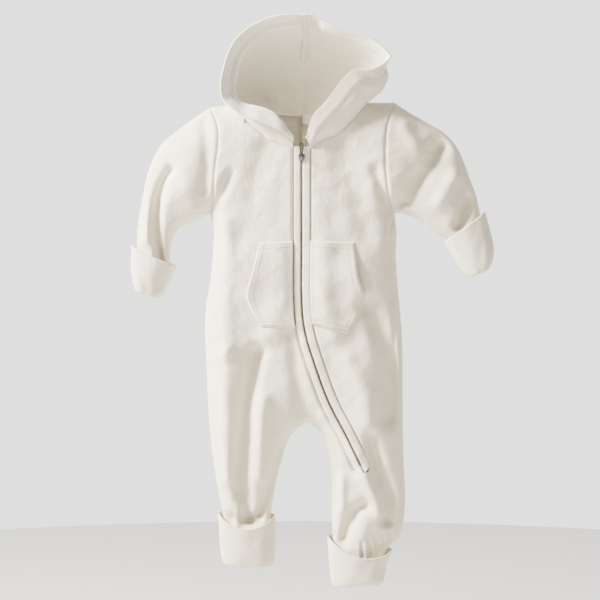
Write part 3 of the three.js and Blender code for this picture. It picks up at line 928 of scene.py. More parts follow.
@dataclass
class Body:
    """The front and back panels, each cut in one from shoulder to ankle, and their gap beside the zip."""

    pattern: Pattern
    finishes: Finishes
    zip_gap: float = 10.8

    def __post_init__(self) -> None:
        """Lay out the edges that the panels share."""
        p = self.pattern
        heights = ((0, -588), (0.27, -412), (0.74, -140), (0.89, -34), (1, -3.5))
        right = np.vstack([p.right_outer, p.right_side[1:], p.right_armhole[1:]])
        self.right_outer = by_height(right, heights)
        left_heights = ((0, -608), (0.27, -412), (0.76, -140), (1, 3))
        left = np.vstack([p.left_outer, p.left_side[1:], p.left_armhole[1:]])
        self.left_outer = by_height(left, left_heights)
        self.centre = curve((5, -412), (3.5, -385), (0, -345), (-3, -310))

    def zip_edge(self, side: int, low: float) -> Points:
        """The panel edge along the zip, upwards from a height."""
        bottom = float(self.pattern.zip_share(np.array([low]))[0])
        return self.pattern.beside_zip(side * self.zip_gap, np.linspace(bottom, 0, 120))

    def panel(self, name: str, patches: Sequence[tuple[Surface, int, int]], side: Side,
              seams: Sequence[Points]) -> tuple[bpy.types.Object, Cut]:
        """Make a panel.

        Args:
            name: Its name.
            patches: Flat patches with their cells across and along.
            side: The face it lies on.
            seams: The chains it is pulled in along.

        Returns:
            The panel and its cut.
        """
        cloth = Cloth(name)
        for number, (patch, across, along) in enumerate(patches):

            def surface(u: Points, v: Points, patch: Surface = patch) -> Points:
                """The panel's face, with its columns closer together near the seams."""
                flat = patch(crowd(u) * 0.75 + u * 0.25, v)
                return self.pattern.place(flat, side, seam_dip(flat, seams))

            cloth.grid(surface, across, along, shift=0.2 * number)
        cloth.close()
        cloth.face_out((0.0, -side.value * 10.0, -0.25))
        made = cloth.build(self.finishes.get(self.finishes.body), self.finishes.get(self.finishes.lit_lining))
        return made, cloth.cut

    def right_front(self) -> tuple[bpy.types.Object, Cut]:
        """The wearer's right front."""
        p = self.pattern
        inner = np.vstack([p.right_inseam, self.centre[1:], self.zip_edge(-1, -309)])
        end = by_height(inner, ((0, -588), (0.27, -412), (0.42, -310), (1, -57)))
        top = joined(p.right_shoulder[::-1], p.neck_right, 0.3)
        patch = coons(straight((-97, -588), (-44, -588)), top, self.right_outer, end)
        seams = [self.zip_edge(-1, -320), p.right_armhole, p.neck_right]
        return self.panel("front_right_body_panel", [(patch, 64, 250)], Side.FRONT, seams)

    def left_front(self) -> tuple[bpy.types.Object, Cut]:
        """The wearer's left front, slit for the zip's lower run."""
        p = self.pattern
        low = np.array([(74, -608), (75, -570), (78, -520), (79.3, -475.6)], float)
        far = np.vstack([low, [(83.0, -474.6), (86.0, -471.8), (87.4, -468)], self.zip_edge(1, -467)])
        near = np.vstack([low, [(75.5, -475.4), (71.8, -474.8), (69.4, -473)], self.zip_edge(-1, -466)[:-1]])
        near = near[near[:, 1] < -310.5]
        near = np.vstack([near, [(-2.4, -310)]])
        join = 0.42  # how far up the inner piece ends, at the bottom of the straight run
        border = by_height(far, ((0, -608), (0.2, -475.6), (0.235, -460), (0.42, -340), (1, -57)))
        inner_border = by_height(near, ((0, -608), (0.2, -475.6), (0.22, -470), (join, -310)))
        top = joined(p.neck_left, p.left_shoulder, 0.7)
        outer = coons(straight((74, -608), (99, -608)), top, border, self.left_outer)
        inseam = np.vstack([p.left_inseam, self.centre[1:]])
        start = by_height(inseam, ((0, -608), (0.27, -412), (join, -310)))
        inner = coons(straight((45, -608), (74, -608)), straight((-3, -310), (-2.4, -310)),
                      lambda v: start(v * join), lambda v: inner_border(v * join))
        seams = [self.zip_edge(1, -468), self.zip_edge(-1, -468), p.left_armhole, p.neck_left, p.side_seam]
        patches = [(outer, 60, 250), (inner, 36, 105)]
        return self.panel("front_left_body_panel", patches, Side.FRONT, seams)

    def right_back(self) -> tuple[bpy.types.Object, Cut]:
        """The wearer's right back."""
        p = self.pattern
        middle = np.vstack([p.right_inseam, [(0, -300), (0, -10)]])
        start = by_height(middle, ((0, -588), (0.27, -412), (1, -10)))
        top = joined(p.nape_right, p.right_shoulder, 0.7)
        patch = coons(straight((-44, -588), (-97, -588)), top, start, self.right_outer)
        seams = [np.array([(5, -412), (0, -300), (0, -10)], float), p.right_armhole, p.nape_right]
        return self.panel("back_right_body_panel", [(patch, 56, 200)], Side.BACK, seams)

    def left_back(self) -> tuple[bpy.types.Object, Cut]:
        """The wearer's left back."""
        p = self.pattern
        middle = np.vstack([p.left_inseam, [(0, -300), (0, -10)]])
        end = by_height(middle, ((0, -608), (0.27, -412), (1, -10)))
        top = joined(p.left_shoulder[::-1], p.nape_left, 0.3)
        patch = coons(straight((99, -608), (45, -608)), top, self.left_outer, end)
        seams = [np.array([(5, -412), (0, -300), (0, -10)], float), p.left_armhole, p.nape_left, p.side_seam]
        return self.panel("back_left_body_panel", [(patch, 56, 200)], Side.BACK, seams)


@dataclass
class Sleeves:
    """Both sleeves, each folded over the arm, sewn along the underarm and pulled in at its armhole."""

    pattern: Pattern
    finishes: Finishes
    armhole_dip: float = 1.8

    def build(self, name: str, over: Points, under: Points, armhole: Points) -> tuple[bpy.types.Object, Cut]:
        """Make a sleeve.

        Args:
            name: Its name.
            over: The folded edge, from the shoulder to the wrist.
            under: The underarm edge, from the body to the wrist.
            armhole: The edge sewn to the body, from the underarm up.

        Returns:
            The sleeve and its cut.
        """
        cloth = Cloth(name)
        wrist = straight(over[-1], under[-1])
        patch = coons(wrist, chained(armhole[::-1]), chained(over[::-1]), chained(under[::-1]))
        for number, side in enumerate(Side):

            def surface(u: Points, v: Points, side: Side = side) -> Points:
                """One half of the sleeve's face."""
                flat = patch(crowd(u), v)
                return self.pattern.place(flat, side, seam_dip(flat, [armhole], self.armhole_dip))

            cloth.grid(surface, 52, 110, shift=0.3 * number)
        cloth.close()
        bmesh.ops.recalc_face_normals(cloth.mesh, faces=cloth.mesh.faces)
        cloth.face_out((over[:, 0].mean() * MM, 0.0, over[:, 1].mean() * MM))
        made = cloth.build(self.finishes.get(self.finishes.body), self.finishes.get(self.finishes.lit_lining))
        return made, cloth.cut


@dataclass(frozen=True)
class Cuff:
    """A turned-up band: sides up from its fold, half-depths at the fold and free edge, and front sag."""

    name: str
    first: tuple[tuple[float, float], ...]
    second: tuple[tuple[float, float], ...]
    depths: tuple[float, float]
    sag: float
    layer: float = 3.4
    corner: float = 3.5
    rows: int = 46
    around: int = 104

    def surface(self, u: Points, v: Points) -> Points:
        """The cuff's face.

        Args:
            u: How far round the cuff.
            v: How far down its outside, round the fold and up its inside.

        Returns:
            The points, in millimetres.
        """
        first, second = curve(*self.first), curve(*self.second)
        angle = 2 * np.pi * u
        across = (1 - np.cos(angle)) / 2
        level = np.interp(v, [0, 0.05, 0.60, 0.66, 1], [1.0, 1.015, 0.0, 0.0, 0.8])
        inset = np.interp(v, [0, 0.05, 0.54, 0.60, 0.63, 0.66, 1],
                          [1.6, 0.0, 0.0, 0.5, self.layer * 0.5, self.layer, self.layer])
        turn = np.clip(1 - level / 0.2, 0, 1)
        inset = inset + self.corner * (1 - np.sqrt(np.maximum(1 - turn**2, 0))) * np.abs(np.cos(angle)) ** 3
        places = np.clip(level, 0, 1)
        one, two = chained(first)(places), chained(second)(places)
        middle, half = (one + two) / 2, (two - one) / 2
        wide = np.linalg.norm(half, axis=1)
        flat = middle - half * ((wide - inset) / wide * np.cos(angle))[:, None]
        deep = self.depths[0] + (self.depths[1] - self.depths[0]) * np.sqrt(places) - inset * 0.8
        wave = 0.7 * np.sin(3 * angle + 5 * level) + 0.35 * np.sin(7 * angle - 3 * level)
        front = np.sin(angle)
        y = -np.sign(front) * np.abs(front) ** 0.7 * (deep + wave)
        sag = self.sag * places**2 * 4 * across * (1 - across) * (front > 0)
        lip = np.clip(level - 1, 0, 1) * 60
        return np.stack([flat[:, 0], y, flat[:, 1] - sag + lip], axis=1)

    def build(self, finishes: Finishes) -> tuple[bpy.types.Object, Cut]:
        """Make the cuff."""
        cloth = Cloth(self.name)
        cloth.grid(self.surface, self.around, self.rows)
        cloth.close()
        bmesh.ops.recalc_face_normals(cloth.mesh, faces=cloth.mesh.faces)
        cloth.face_out(sum((vert.co for vert in cloth.mesh.verts), Vector()) / len(cloth.mesh.verts))
        made = cloth.build(finishes.get(finishes.cuff), thickness=1.5)
        return made, cloth.cut


@dataclass(frozen=True)
class Pocket:
    """One half of the split pocket: its hand edge upwards, and the side of the zip it lies on."""

    name: str
    hand: tuple[tuple[float, float], ...]
    side: int
    stand: float = 2.3
    sewn_stand: float = 1.1
    gape: float = 6.0
    zip_gap: float = 11.2
    zip_edge: tuple[float, float] = (-287.0, -178.0)

    def patch(self, pattern: Pattern) -> Surface:
        """The flat patch, with u from the wearer's right to their left."""
        hand = chained(curve(*self.hand))

        def beside(v: Points) -> Points:
            """The edge along the zip, upwards."""
            height = np.interp(v, (0, 1), self.zip_edge)
            return pattern.beside_zip(self.side * self.zip_gap, pattern.zip_share(height))

        start, end = (hand, beside) if self.side < 0 else (beside, hand)
        zero, one = np.zeros(1), np.ones(1)
        return coons(straight(start(zero)[0], end(zero)[0]), straight(start(one)[0], end(one)[0]), start, end)

    def lift(self, u: Points, v: Points) -> Points:
        """How far the pocket stands off the body: least along its seams, most at the hand opening.

        Args:
            u: How far across, towards the wearer's left.
            v: How far up.

        Returns:
            The lift at each point.
        """
        hand = 1 - u if self.side < 0 else u
        sewn = np.minimum(np.minimum(smooth(v, -0.001, 0.03), smooth(1 - v, -0.001, 0.03)),
                          smooth(1 - hand, -0.002, 0.06))
        open_part = np.sin(np.pi * smooth(v, 0.28, 1.0)) * smooth(hand, 0.15, 1.0)
        return self.sewn_stand + (self.stand - self.sewn_stand) * sewn + self.gape * open_part

    def place(self, pattern: Pattern, u: Points, v: Points, extra: float = 0.0) -> Points:
        """Points on the pocket's face."""
        return pattern.place(self.patch(pattern)(u, v), Side.FRONT, self.lift(u, v) + extra)

    def build(self, pattern: Pattern, finishes: Finishes) -> tuple[bpy.types.Object, Cut, bpy.types.Object]:
        """Make the pocket and its twin-needle stitching."""
        cloth = Cloth(self.name)
        cloth.grid(lambda u, v: self.place(pattern, u, v), 36, 70)
        cloth.face_out((0.0, 10.0, -0.25))
        made = cloth.build(finishes.get(finishes.body), finishes.get(finishes.lit_lining), thickness=1.7)
        stitches = Row(f"{self.name}_stitching", STITCH, STITCH_PITCH)
        run = np.linspace(0.03, 0.97, 60)
        level = np.ones(60)
        for edge in (0.025, 0.072):
            for share in (edge, 1 - edge):
                stitches.along(self.place(pattern, run, level * share), FORWARD, 0.05)
        for edge in (0.05, 0.15):
            share = edge if self.side < 0 else 1 - edge
            stitches.along(self.place(pattern, level * share, run), FORWARD, 0.05)
        rows = stitches.build(finishes.get(finishes.shaded_thread))
        return made, cloth.cut, rows


@dataclass
class Zip:
    """The zip: woven tapes, moulded coils and the folded welts over them; the tapes and coils wear tan and
    brown painted shade for the gap between the welts.

    Each span runs out from the zip's middle, each rise out from the body's face, and a coil tooth has its
    size along, across and out.
    """

    pattern: Pattern
    finishes: Finishes
    welt_from: float = 1.6
    welt_to: tuple[float, float] = (9.3, 10.7)
    welt_rise: tuple[float, float] = (-1.4, 0.9)
    tape_span: tuple[float, float] = (3.4, 13.2)
    tape_rise: tuple[float, float] = (-3.3, -2.7)
    tooth: tuple[float, float, float] = (1.2, 2.7, 1.7)
    tooth_pitch: float = 1.5
    rounded_end: float = 0.024

    def strip(self, name: str, side: int, across: tuple[float, float], out: tuple[float, float],
              finish: Finish, square: float, around: int) -> bpy.types.Object:
        """A closed strip beside the zip's middle.

        Args:
            name: Its name.
            side: -1 on the wearer's right, 1 on their left.
            across: From and to, beside the middle.
            out: From and to, off the body's face.
            finish: Its finish.
            square: Below 1, how square its section is.
            around: Cells round its section.

        Returns:
            The strip.
        """
        cloth = Cloth(name)

        def surface(u: Points, v: Points) -> Points:
            """Round the section with u and down the zip with v, narrowing at the low end."""
            angle = 2 * np.pi * u
            cos, sin = np.cos(angle), np.sin(angle)
            beside = np.mean(across) + (across[1] - across[0]) / 2 * np.sign(cos) * np.abs(cos) ** square
            rise = np.mean(out) + (out[1] - out[0]) / 2 * np.sign(sin) * np.abs(sin) ** square
            end = np.clip((v - 1 + self.rounded_end) / self.rounded_end, 0, 1)
            beside = beside * np.sqrt(np.maximum(1 - 0.985 * end**2, 0))
            return self.pattern.place(self.pattern.beside_zip(side * beside, v), Side.FRONT, rise)

        cloth.grid(surface, around, 260)
        cloth.close()
        bmesh.ops.holes_fill(cloth.mesh, edges=[e for e in cloth.mesh.edges if e.is_boundary], sides=0)
        bmesh.ops.recalc_face_normals(cloth.mesh, faces=cloth.mesh.faces)
        return cloth.build(self.finishes.get(finish), thickness=0)

    def build(self) -> list[bpy.types.Object]:
        """Make the zip's pieces and bake each one's placement into its mesh."""
        made = []
        for side, word, edge in zip((-1, 1), ("right", "left"), self.welt_to):
            span = (self.welt_from, edge)
            welt = self.strip(f"zip_welt_{word}", side, span, self.welt_rise, self.finishes.welt, 0.55, 14)
            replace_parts(welt, f"zip_welt_{word}_upper", f"zip_welt_{word}_lower")
            # The tape strip and the coil teeth below carry the tan and brown painted shade of the gap between
            # the welts.
            shaded_tape = self.strip(f"zip_tape_{word}", side, self.tape_span, self.tape_rise, self.finishes.shaded_tape,
                              0.3, 8)
            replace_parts(shaded_tape, f"zip_tape_{word}_upper", f"zip_tape_{word}_lower")
            shaded_coil = Row(f"zip_teeth_{word}", self.tooth, self.tooth_pitch)
            share = np.linspace(0.004, 0.992, 400)
            line = self.pattern.place(self.pattern.beside_zip(side * 1.3, share), Side.FRONT, -1.5)
            shaded_coil.along(line, FORWARD)
            teeth = shaded_coil.build(self.finishes.get(self.finishes.shaded_coil))
            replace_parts(teeth, f"zip_teeth_{word}_upper", f"zip_teeth_{word}_lower")
            made += [welt, shaded_tape, teeth]
        for piece in made:
            LEFT_LEG.apply(piece)
        return made


RIGHT_HOOD = (
    ((-11.5, -27, -57), (-11.5, -28, -54), (-11.3, -29, -51), (-11, -30, -49), (-10.5, -31, -46),
     (-11, -33, -48)),
    ((-28, -27, -51), (-28, -29, -44), (-27.5, -31, -37), (-27, -32, -31), (-26.5, -32, -25),
     (-29, -40, -37)),
    ((-47, -26, -43), (-48, -29, -36), (-49, -31, -28), (-48, -32, -19), (-46, -31, -11), (-54, -43, -28)),
    ((-72, -18, -22), (-77, -23, -14), (-79, -24, -11), (-78, -25, -5), (-73, -26, -3), (-83, -42, -15)),
    ((-80, 0, 1), (-90, -4, 4), (-96, -10, 8), (-95, -18, 10), (-86, -24, 9), (-102, -39, 5)),
    ((-66, 12, -3.5), (-86, 20, 8), (-98, 14, 24), (-99, 2, 32), (-86, -16, 34), (-103, -34, 32)),
    ((-45, 20, -7), (-62, 32, 14), (-78, 30, 44), (-82, 14, 62), (-76, -8, 66), (-88, -29, 76)),
    ((-22, 26, -9.5), (-32, 38, 24), (-42, 36, 62), (-44, 18, 86), (-43, -6, 96), (-47, -27, 107)),
    ((0, 27, -10), (3, 40, 28), (5, 38, 68), (6.5, 20, 92), (6.5, -4, 103), (6.5, -25, 114)),
)
LEFT_HOOD = (
    ((10.1, -27, -57), (10, -28, -56), (9.5, -29, -55), (9, -30, -53), (8, -31, -51), (4.9, -33, -47)),
    ((24, -27, -47), (23.5, -28, -46.5), (23, -30, -45), (22, -33, -43), (20, -36, -38), (13, -38, -21)),
    ((46, -26, -38), (46.5, -30, -34), (47, -33, -29), (47, -37, -22), (43, -39, -14), (33, -41, 2.5)),
    ((67, -22, -18), (71, -24, -11), (75, -30, -3), (76, -36, 8), (74, -40, 20), (61, -43, 36)),
    ((80, 0, 2), (92, -2, 8), (100, -8, 14), (102, -20, 20), (98, -30, 26), (90, -40, 40.6)),
    ((66, 12, -3), (88, 20, 12), (104, 12, 28), (112, -2, 38), (108, -14, 52), (113, -32, 57)),
    ((45, 20, -7), (62, 32, 18), (80, 28, 48), (92, 8, 60), (92, -10, 70), (96, -28, 78)),
    ((22, 26, -9.5), (32, 38, 26), (44, 36, 64), (48, 16, 82), (50, -8, 88), (52, -26, 95)),
    ((0, 27, -10), (3, 40, 28), (5, 38, 68), (6.5, 20, 92), (6.5, -4, 103), (6.5, -25, 114)),
)


@dataclass(frozen=True)
class HoodHalf:
    """One half of the hood, by columns from the zip round to the crown, each from the neck to the face edge.

    Its neck row is lowered behind the body's neck edge and tucked in to its own depths, and its face edge is
    turned back to a hem with two rows of stitching.
    """

    name: str
    columns: tuple[tuple[tuple[float, float, float], ...], ...]
    hem: float = 19.0
    hem_rows: tuple[float, float] = (15.0, 18.6)
    thickness: float = 2.0
    neck_drop: float = 2.2
    tuck: tuple[float, ...] = (25.4, 25.4, 24.8, 19.0, 0.0, 11.0, 19.5, 24.0, 25.0)

    def shape(self, u: Points, v: Points) -> Points:
        """Points on the hood's outer face, before folds."""
        grid = np.array(self.columns, float).transpose(1, 0, 2)
        grid[0, :, 2] -= self.neck_drop
        grid[0, :, 1] = np.array(self.tuck) * np.where(np.arange(9) < 4, -1, 1)
        rows = np.stack([spline(row, u) for row in grid])
        return spline(rows, v)

    def folds(self, u: Points, v: Points, points: Points) -> Points:
        """How far the folds move the hood's face.

        Args:
            u: How far round from the zip to the crown.
            v: How far up from the neck to the face edge.
            points: The face's points there.

        Returns:
            The lift at each point.
        """
        x, z = points[:, 0], points[:, 2]
        flat = np.stack([x, z], axis=1)
        upper = smooth(v, 0.45, 0.7) * smooth(u, 0.55, 0.7)
        lift = 0.7 * np.sin(u * 19 + v * 5) * np.sin(v * 6 + 1) + 0.5 * np.sin(u * 41 + v * 13) * v
        if x.mean() > 0:
            roll = Fold(((23, 80), (48, 76), (70, 68), (85, 57), (90, 47)), 9, 5.0).lift(flat)
            dent = Fold(((30, 98), (60, 86), (88, 74), (104, 62)), 7, -4.0).lift(flat)
            return lift + (roll + dent) * upper
        crease = Fold(((-45, 80), (-55, 75), (-61, 65), (-78, 57)), 4, -4.0).lift(flat)
        lump = Fold(((-40, 12), (-33, 12)), 6, -3.0).lift(flat)
        return lift + crease * upper + lump * smooth(0.4 - v, 0, 0.3)

    def normals(self, u: Points, v: Points) -> Points:
        """Outward directions."""
        step = 1e-3
        over = self.shape(np.minimum(u + step, 1), v) - self.shape(np.maximum(u - step, 0), v)
        up = self.shape(u, np.minimum(v + step, 1)) - self.shape(u, np.maximum(v - step, 0))
        way = np.cross(over, up)
        way /= np.maximum(np.linalg.norm(way, axis=1), 1e-9)[:, None]
        return way if self.columns[1][0][0] > 0 else -way

    def from_edge(self, u: Points, v: Points) -> Points:
        """How far along the cloth each point is from the face edge.

        Args:
            u: How far round from the zip to the crown.
            v: How far up from the neck to the face edge.

        Returns:
            The lengths, in millimetres.
        """
        across, along = 32, 40
        lengths = []
        for share in np.linspace(0, 1, across + 1):
            line = self.shape(np.full(along + 1, share), np.linspace(0, 1, along + 1))
            length = np.linalg.norm(np.diff(line, axis=0), axis=1)
            lengths.append(np.concatenate([np.cumsum(length[::-1])[::-1], [0]]))
        table = np.array(lengths)
        low = np.minimum((u * across).astype(int), across - 1)
        rest = u * across - low
        base = np.minimum((v * along).astype(int), along - 1)
        part = v * along - base

        def at(column: Points) -> Points:
            """The length read from one column of the table."""
            return table[column, base] * (1 - part) + table[column, base + 1] * part

        return at(low) * (1 - rest) + at(low + 1) * rest

    def place(self, u: Points, v: Points, lift: float = 0.0) -> Points:
        """Points on the finished hood."""
        points = self.shape(u, v)
        gap = self.from_edge(u, v)
        hem = 0.9 * smooth(self.hem + 1.2 - gap, 0, 1.4) - 0.5 * np.exp(-(((gap - self.hem) / 1.4) ** 2))
        sewn = smooth(v, 0, 0.08)
        return points + self.normals(u, v) * (self.folds(u, v, points) * sewn + hem + lift)[:, None]

    def row_at(self, gap: float) -> tuple[Points, Points]:
        """A line along the hem, left out where the hood is too short to hold it.

        Args:
            gap: Its distance from the face edge.

        Returns:
            Its shares u and v.
        """
        u = np.linspace(0.02, 0.995, 160)
        u = u[self.from_edge(u, np.zeros(160)) > gap + 6]
        steps = np.linspace(0, 1, 200)
        v = np.array([np.interp(-gap, -self.from_edge(np.full(200, share), steps), steps) for share in u])
        return u, v

    def build(self, finishes: Finishes) -> tuple[bpy.types.Object, Cut, bpy.types.Object]:
        """Make the hood half and its hem stitching."""
        cloth = Cloth(self.name)
        cloth.grid(lambda u, v: self.place(u, v), 150, 84)
        cloth.face_out((0.0, 0.0, 0.035))
        made = cloth.build(finishes.get(finishes.hood), finishes.get(finishes.lit_lining), self.thickness)
        stitches = Row(f"{self.name}_stitching", STITCH, STITCH_PITCH)
        for gap in self.hem_rows:
            u, v = self.row_at(gap)
            for side, lift in ((1, 0.15), (-1, -0.15 - self.thickness)):
                stitches.along(self.place(u, v, lift), self.normals(u, v) * side)
        rows = stitches.build(finishes.get(finishes.shaded_thread))
        return made, cloth.cut, rows


@dataclass
class Hood:
    """The hood: two halves, with the centre seam's allowance, of its own width, stitched down inside."""

    finishes: Finishes
    halves: tuple[HoodHalf, HoodHalf] = (HoodHalf("hood_half_right", RIGHT_HOOD),
                                         HoodHalf("hood_half_left", LEFT_HOOD))
    allowance_width: float = 15.0
    allowance_rows: tuple[float, ...] = (0.14, 0.4, 0.6, 0.86)

    def allowance(self) -> tuple[bpy.types.Object, bpy.types.Object]:
        """The centre seam's allowance, inside the hood, and its stitching."""
        line = np.array(LEFT_HOOD[8][2:], float)

        def surface(u: Points, v: Points) -> Points:
            """Across the allowance with u and along the seam with v, just inside the hood."""
            point = spline(line, v)
            step = 1e-3
            along = spline(line, np.minimum(v + step, 1)) - spline(line, np.maximum(v - step, 0))
            inward = np.stack([np.zeros(len(u)), along[:, 2], -along[:, 1]], axis=1)
            inward /= np.linalg.norm(inward, axis=1)[:, None]
            inward *= np.where(inward[:, 2] > 0, -1, 1)[:, None]
            point = point + inward * (2.7 - 0.9 * np.exp(-(((u - 0.5) / 0.12) ** 2)))[:, None]
            point[:, 0] += (u - 0.5) * self.allowance_width
            return point

        cloth = Cloth("hood_centre_seam_allowance")
        cloth.grid(surface, 16, 60)
        cloth.face_out((0.0, 0.1, 0.2))
        strip = cloth.build(self.finishes.get(self.finishes.lit_lining), thickness=0.8)
        stitches = Row("hood_centre_seam_stitching", STITCH, STITCH_PITCH)
        run = np.linspace(0.02, 0.98, 80)
        for across in self.allowance_rows:
            stitches.along(surface(np.full(80, across), run), (0, -0.6, -0.8), 0.3)
        rows = stitches.build(self.finishes.get(self.finishes.shaded_thread))
        declare(strip, cloth.cut, Held.HUNG, [rows])
        return strip, rows

    def build(self) -> None:
        """Make the hood and bake the placement of each of its pieces into its mesh."""
        for half, node in zip(self.halves, ("hood_right_panel", "hood_left_panel")):
            made, cut, rows = half.build(self.finishes)
            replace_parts(made, node)
            declare(made, cut, Held.HUNG, [rows])
            for piece in (made, rows):
                HOOD.apply(piece)
            LOG.info("%s", made.name)
        for piece in self.allowance():
            HOOD.apply(piece)


@dataclass(frozen=True)
class AnkleStitching:
    """The twin rows that hold the gathered ankle of the wearer's left leg to its cuff."""

    line: tuple[tuple[float, float], ...] = ((60, -575), (80, -577), (98, -572), (116, -562))
    drops: tuple[float, float] = (0.0, 4.0)
    stitch: tuple[float, float, float] = (2.2, 1.1, 0.9)
    pitch: float = 3.0

    def build(self, pattern: Pattern, finishes: Finishes) -> bpy.types.Object:
        """Make the stitching."""
        rows = Row("left_ankle_stitching", self.stitch, self.pitch)
        for drop in self.drops:
            rows.along(pattern.place(curve(*self.line) - (0.0, drop), Side.FRONT, 0.2), FORWARD)
        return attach(rows.build(finishes.get(finishes.shaded_thread)), "left_leg")


@dataclass(frozen=True)
class Label:
    """The blank satin size label, folded and sewn in under the nape."""

    start: float = 0.4
    width: float = 14.6
    sewn: float = -9.0
    fold: float = -22.6
    thickness: float = 0.25

    def build(self, finishes: Finishes) -> bpy.types.Object:
        """Make the label."""

        def surface(u: Points, v: Points) -> Points:
            """Across the label with u, down its back layer and up its front layer with v."""
            height = np.interp(v, (0, 0.46, 0.54, 1), (self.sewn, self.fold, self.fold, self.sewn))
            back = np.interp(v, (0, 0.46, 0.5, 0.54, 1), (21.0, 20.2, 20.9, 21.6, 22.0))
            droop = np.interp(v, (0, 0.46, 0.5, 0.54, 1), (0, 0, 0.7, 0, 0))
            curl = 0.6 * np.sin(np.pi * u) * np.sin(np.pi * v)
            return np.stack([self.start + self.width * u, back - curl, height - droop], axis=1)

        cloth = Cloth("neck_size_label")
        cloth.grid(surface, 20, 50)
        cloth.face_out((0.007, 0.5, -0.016))
        made = cloth.build(finishes.get(finishes.satin), thickness=self.thickness)
        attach(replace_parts(made, "size_label"), "torso")
        declare(made, cloth.cut, Held.FOLDED)
        return made


@dataclass(frozen=True)
class Hardware:
    """The slider, its pull and the zip's stops, with their rounding in metres."""

    rounding: float = 0.00022
    sharp: float = math.radians(35)

    def build(self, finishes: Finishes) -> None:
        """Finish the metal parts."""
        for name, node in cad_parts.items():
            metal = finishes.dark_nickel if name == "zip_pull" else finishes.nickel
            if name in ("zip_slider", "zip_pull") or "stop" in name:
                node.data.materials.clear()
                node.data.materials.append(finishes.get(metal))
                bevel = node.modifiers.new("Rounding", "BEVEL")
                bevel.width = self.rounding
                bevel.segments = 2
                bevel.limit_method = "ANGLE"
                bevel.angle_limit = self.sharp


@dataclass(frozen=True)
class Studio:
    """A pale floor, soft light and a level camera in front of the garment."""

    centre: tuple[float, float, float] = (-0.0026, 0.0, -0.2535)
    reach: float = 1.8
    view_width: float = 0.78
    sensor: float = 36.0
    floor_height: float = -1.02
    surround: Colour = (0.90, 0.888, 0.875)

    def light(self, name: str, place: Sequence[float], size: float, power: float,
              colour: Colour) -> bpy.types.Object:
        """A soft square light aimed at the garment.

        Args:
            name: Its name.
            place: Where it stands, in metres.
            size: The length of its sides.
            power: Its power in watts.
            colour: Its colour.

        Returns:
            The light.
        """
        data = bpy.data.lights.new(name, "AREA")
        data.shape = "SQUARE"
        data.size = size
        data.energy = power
        data.color = colour
        made = bpy.data.objects.new(name, data)
        made.location = place
        made.rotation_euler = (Vector(self.centre) - Vector(place)).to_track_quat("-Z", "Y").to_euler()
        bpy.context.scene.collection.objects.link(made)
        return made

    def floor(self) -> bpy.types.Object:
        """A pale round floor below the garment."""
        look = Look("floor")
        place = look.node("ShaderNodeTexCoord", {}, {})
        grain = look.noise(place.outputs["Object"], 14.0, 4.0)
        colour = look.blend_colour(grain, (0.72, 0.70, 0.68), (0.78, 0.76, 0.74))
        shader = look.node("ShaderNodeBsdfPrincipled", {}, {"Base Color": colour, "Roughness": 0.85})
        shape = bmesh.new()
        bmesh.ops.create_circle(shape, cap_ends=True, segments=96, radius=3.0)
        mesh = bpy.data.meshes.new("studio_floor")
        shape.to_mesh(mesh)
        shape.free()
        mesh.materials.append(look.finish(shader))
        made = bpy.data.objects.new("studio_floor", mesh)
        made.location = (0.0, 0.0, self.floor_height)
        bpy.context.scene.collection.objects.link(made)
        return made

    def world(self) -> None:
        """A pale surrounding, brighter behind the garment than in front of it."""
        world = bpy.data.worlds.new("studio")
        world.use_nodes = True
        nodes = Nodes(world.node_tree)
        way = nodes.node("ShaderNodeTexCoord", {}, {})
        parts = nodes.node("ShaderNodeSeparateXYZ", {}, {"Vector": way.outputs["Generated"]})
        strength = nodes.value(parts, "Y") * 1.35 + 1.45
        shine = nodes.node("ShaderNodeBackground", {}, {"Color": (*self.surround, 1.0), "Strength": strength})
        nodes.node("ShaderNodeOutputWorld", {}, {"Surface": shine.outputs[0]})
        bpy.context.scene.world = world

    def build(self) -> None:
        """Set up the studio."""
        self.world()
        x, y, z = self.centre
        key = self.light("key_light", (-2.0, -0.7, 1.15), 0.6, 540.0, (1.0, 0.985, 0.96))
        fill = self.light("fill_light", (1.6, -1.6, 0.1), 1.8, 6.0, (0.97, 0.98, 1.0))
        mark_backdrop(self.floor(), key, fill)
        data = bpy.data.cameras.new("camera")
        data.sensor_width = self.sensor
        data.lens = self.sensor * self.reach / self.view_width
        camera = bpy.data.objects.new("camera", data)
        camera.location = (x, y - self.reach, z)
        camera.rotation_euler = (math.pi / 2, 0.0, 0.0)
        bpy.context.scene.collection.objects.link(camera)
        bpy.context.scene.camera = camera


CUFFS = (
    (Cuff("right_mitt_cuff_band", ((-184, -253), (-174, -234), (-163, -210)),
          ((-218, -241), (-222, -214), (-221.5, -183)), (16, 22), 2), "right_mitt_cuff", "right_sleeve"),
    (Cuff("left_mitt_cuff_band", ((217, -225), (201, -204), (185, -178)),
          ((245, -213), (249, -185), (238, -140)), (16, 22), 0), "left_mitt_cuff", "left_sleeve"),
    (Cuff("right_foot_cuff_band", ((-104, -596), (-107, -565), (-109, -530)),
          ((-36, -599), (-34, -570), (-35, -534)), (20, 26), 16), "right_foot_cuff", "right_leg"),
    (Cuff("left_foot_cuff_band", ((38, -624), (35, -592), (33, -560)),
          ((106, -622), (110, -597), (117, -578)), (20, 26), 16), "left_foot_cuff", "left_leg"),
)
POCKETS = (
    (Pocket("pocket_half_right", ((-52, -288), (-71, -252), (-65, -222), (-54, -180)), -1), "right_pocket"),
    (Pocket("pocket_half_left", ((59, -297), (79, -255), (72, -222), (67, -179)), 1), "left_pocket"),
)


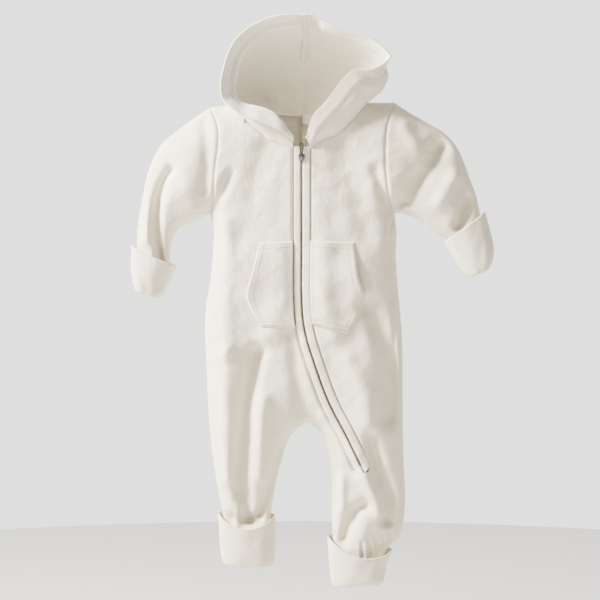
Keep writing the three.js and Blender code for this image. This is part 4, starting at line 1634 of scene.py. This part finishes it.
def main() -> None:
    """Build the garment and its studio."""
    logging.basicConfig(level=logging.INFO, format="%(message)s")
    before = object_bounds()
    finishes, pattern = Finishes(), Pattern()
    body = Body(pattern, finishes)
    trims: list[bpy.types.Object] = Zip(pattern, finishes).build()
    LOG.info("zip")
    panels = (
        (body.right_front, RIGHT_LEG, ("front_right_panel", "right_leg_front"), ()),
        (body.left_front, LEFT_LEG,
         ("front_left_panel", "left_leg_front_inner", "left_leg_front_outer"), trims),
        (body.right_back, RIGHT_LEG, ("back_right_panel", "right_leg_back"), ()),
        (body.left_back, LEFT_LEG, ("back_left_panel", "left_leg_back"), ()),
    )
    for make, bend, nodes, extras in panels:
        piece, cut = make()
        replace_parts(piece, *nodes)
        declare(piece, cut, Held.HUNG, extras)
        bend.apply(piece)
        LOG.info("%s: %.3f x %.3f m", piece.name, cut.width, cut.length)
    sleeves = Sleeves(pattern, finishes)
    right_edges = (pattern.right_over, pattern.right_under, pattern.right_armhole)
    left_edges = (pattern.left_over, pattern.left_under, pattern.left_armhole)
    for name, bend, edges in (("right_sleeve_panel", RIGHT_ARM, right_edges),
                              ("left_sleeve_panel", LEFT_ARM, left_edges)):
        piece, cut = sleeves.build(name, *edges)
        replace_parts(piece, f"{bend.second}_front", f"{bend.second}_back")
        declare(piece, cut, Held.HUNG)
        bend.apply(piece)
        LOG.info("%s: %.3f x %.3f m", piece.name, cut.width, cut.length)
    for cuff, node, rides_on in CUFFS:
        piece, cut = cuff.build(finishes)
        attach(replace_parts(piece, node), rides_on)
        declare(piece, cut, Held.FOLDED)
        LOG.info("%s", piece.name)
    for pocket, node in POCKETS:
        piece, cut, rows = pocket.build(pattern, finishes)
        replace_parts(piece, node)
        declare(piece, cut, Held.HUNG, [rows])
        for part in (piece, rows):
            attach(part, "torso")
        LOG.info("%s", piece.name)
    AnkleStitching().build(pattern, finishes)
    Hood(finishes).build()
    Label().build(finishes)
    Hardware().build(finishes)
    Studio().build()
    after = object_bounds()
    sizes = {name: [[float(c) for c in corner] for corner in box]
             for name, box in (("before", before), ("after", after))}


if __name__ == "__main__":
    main()
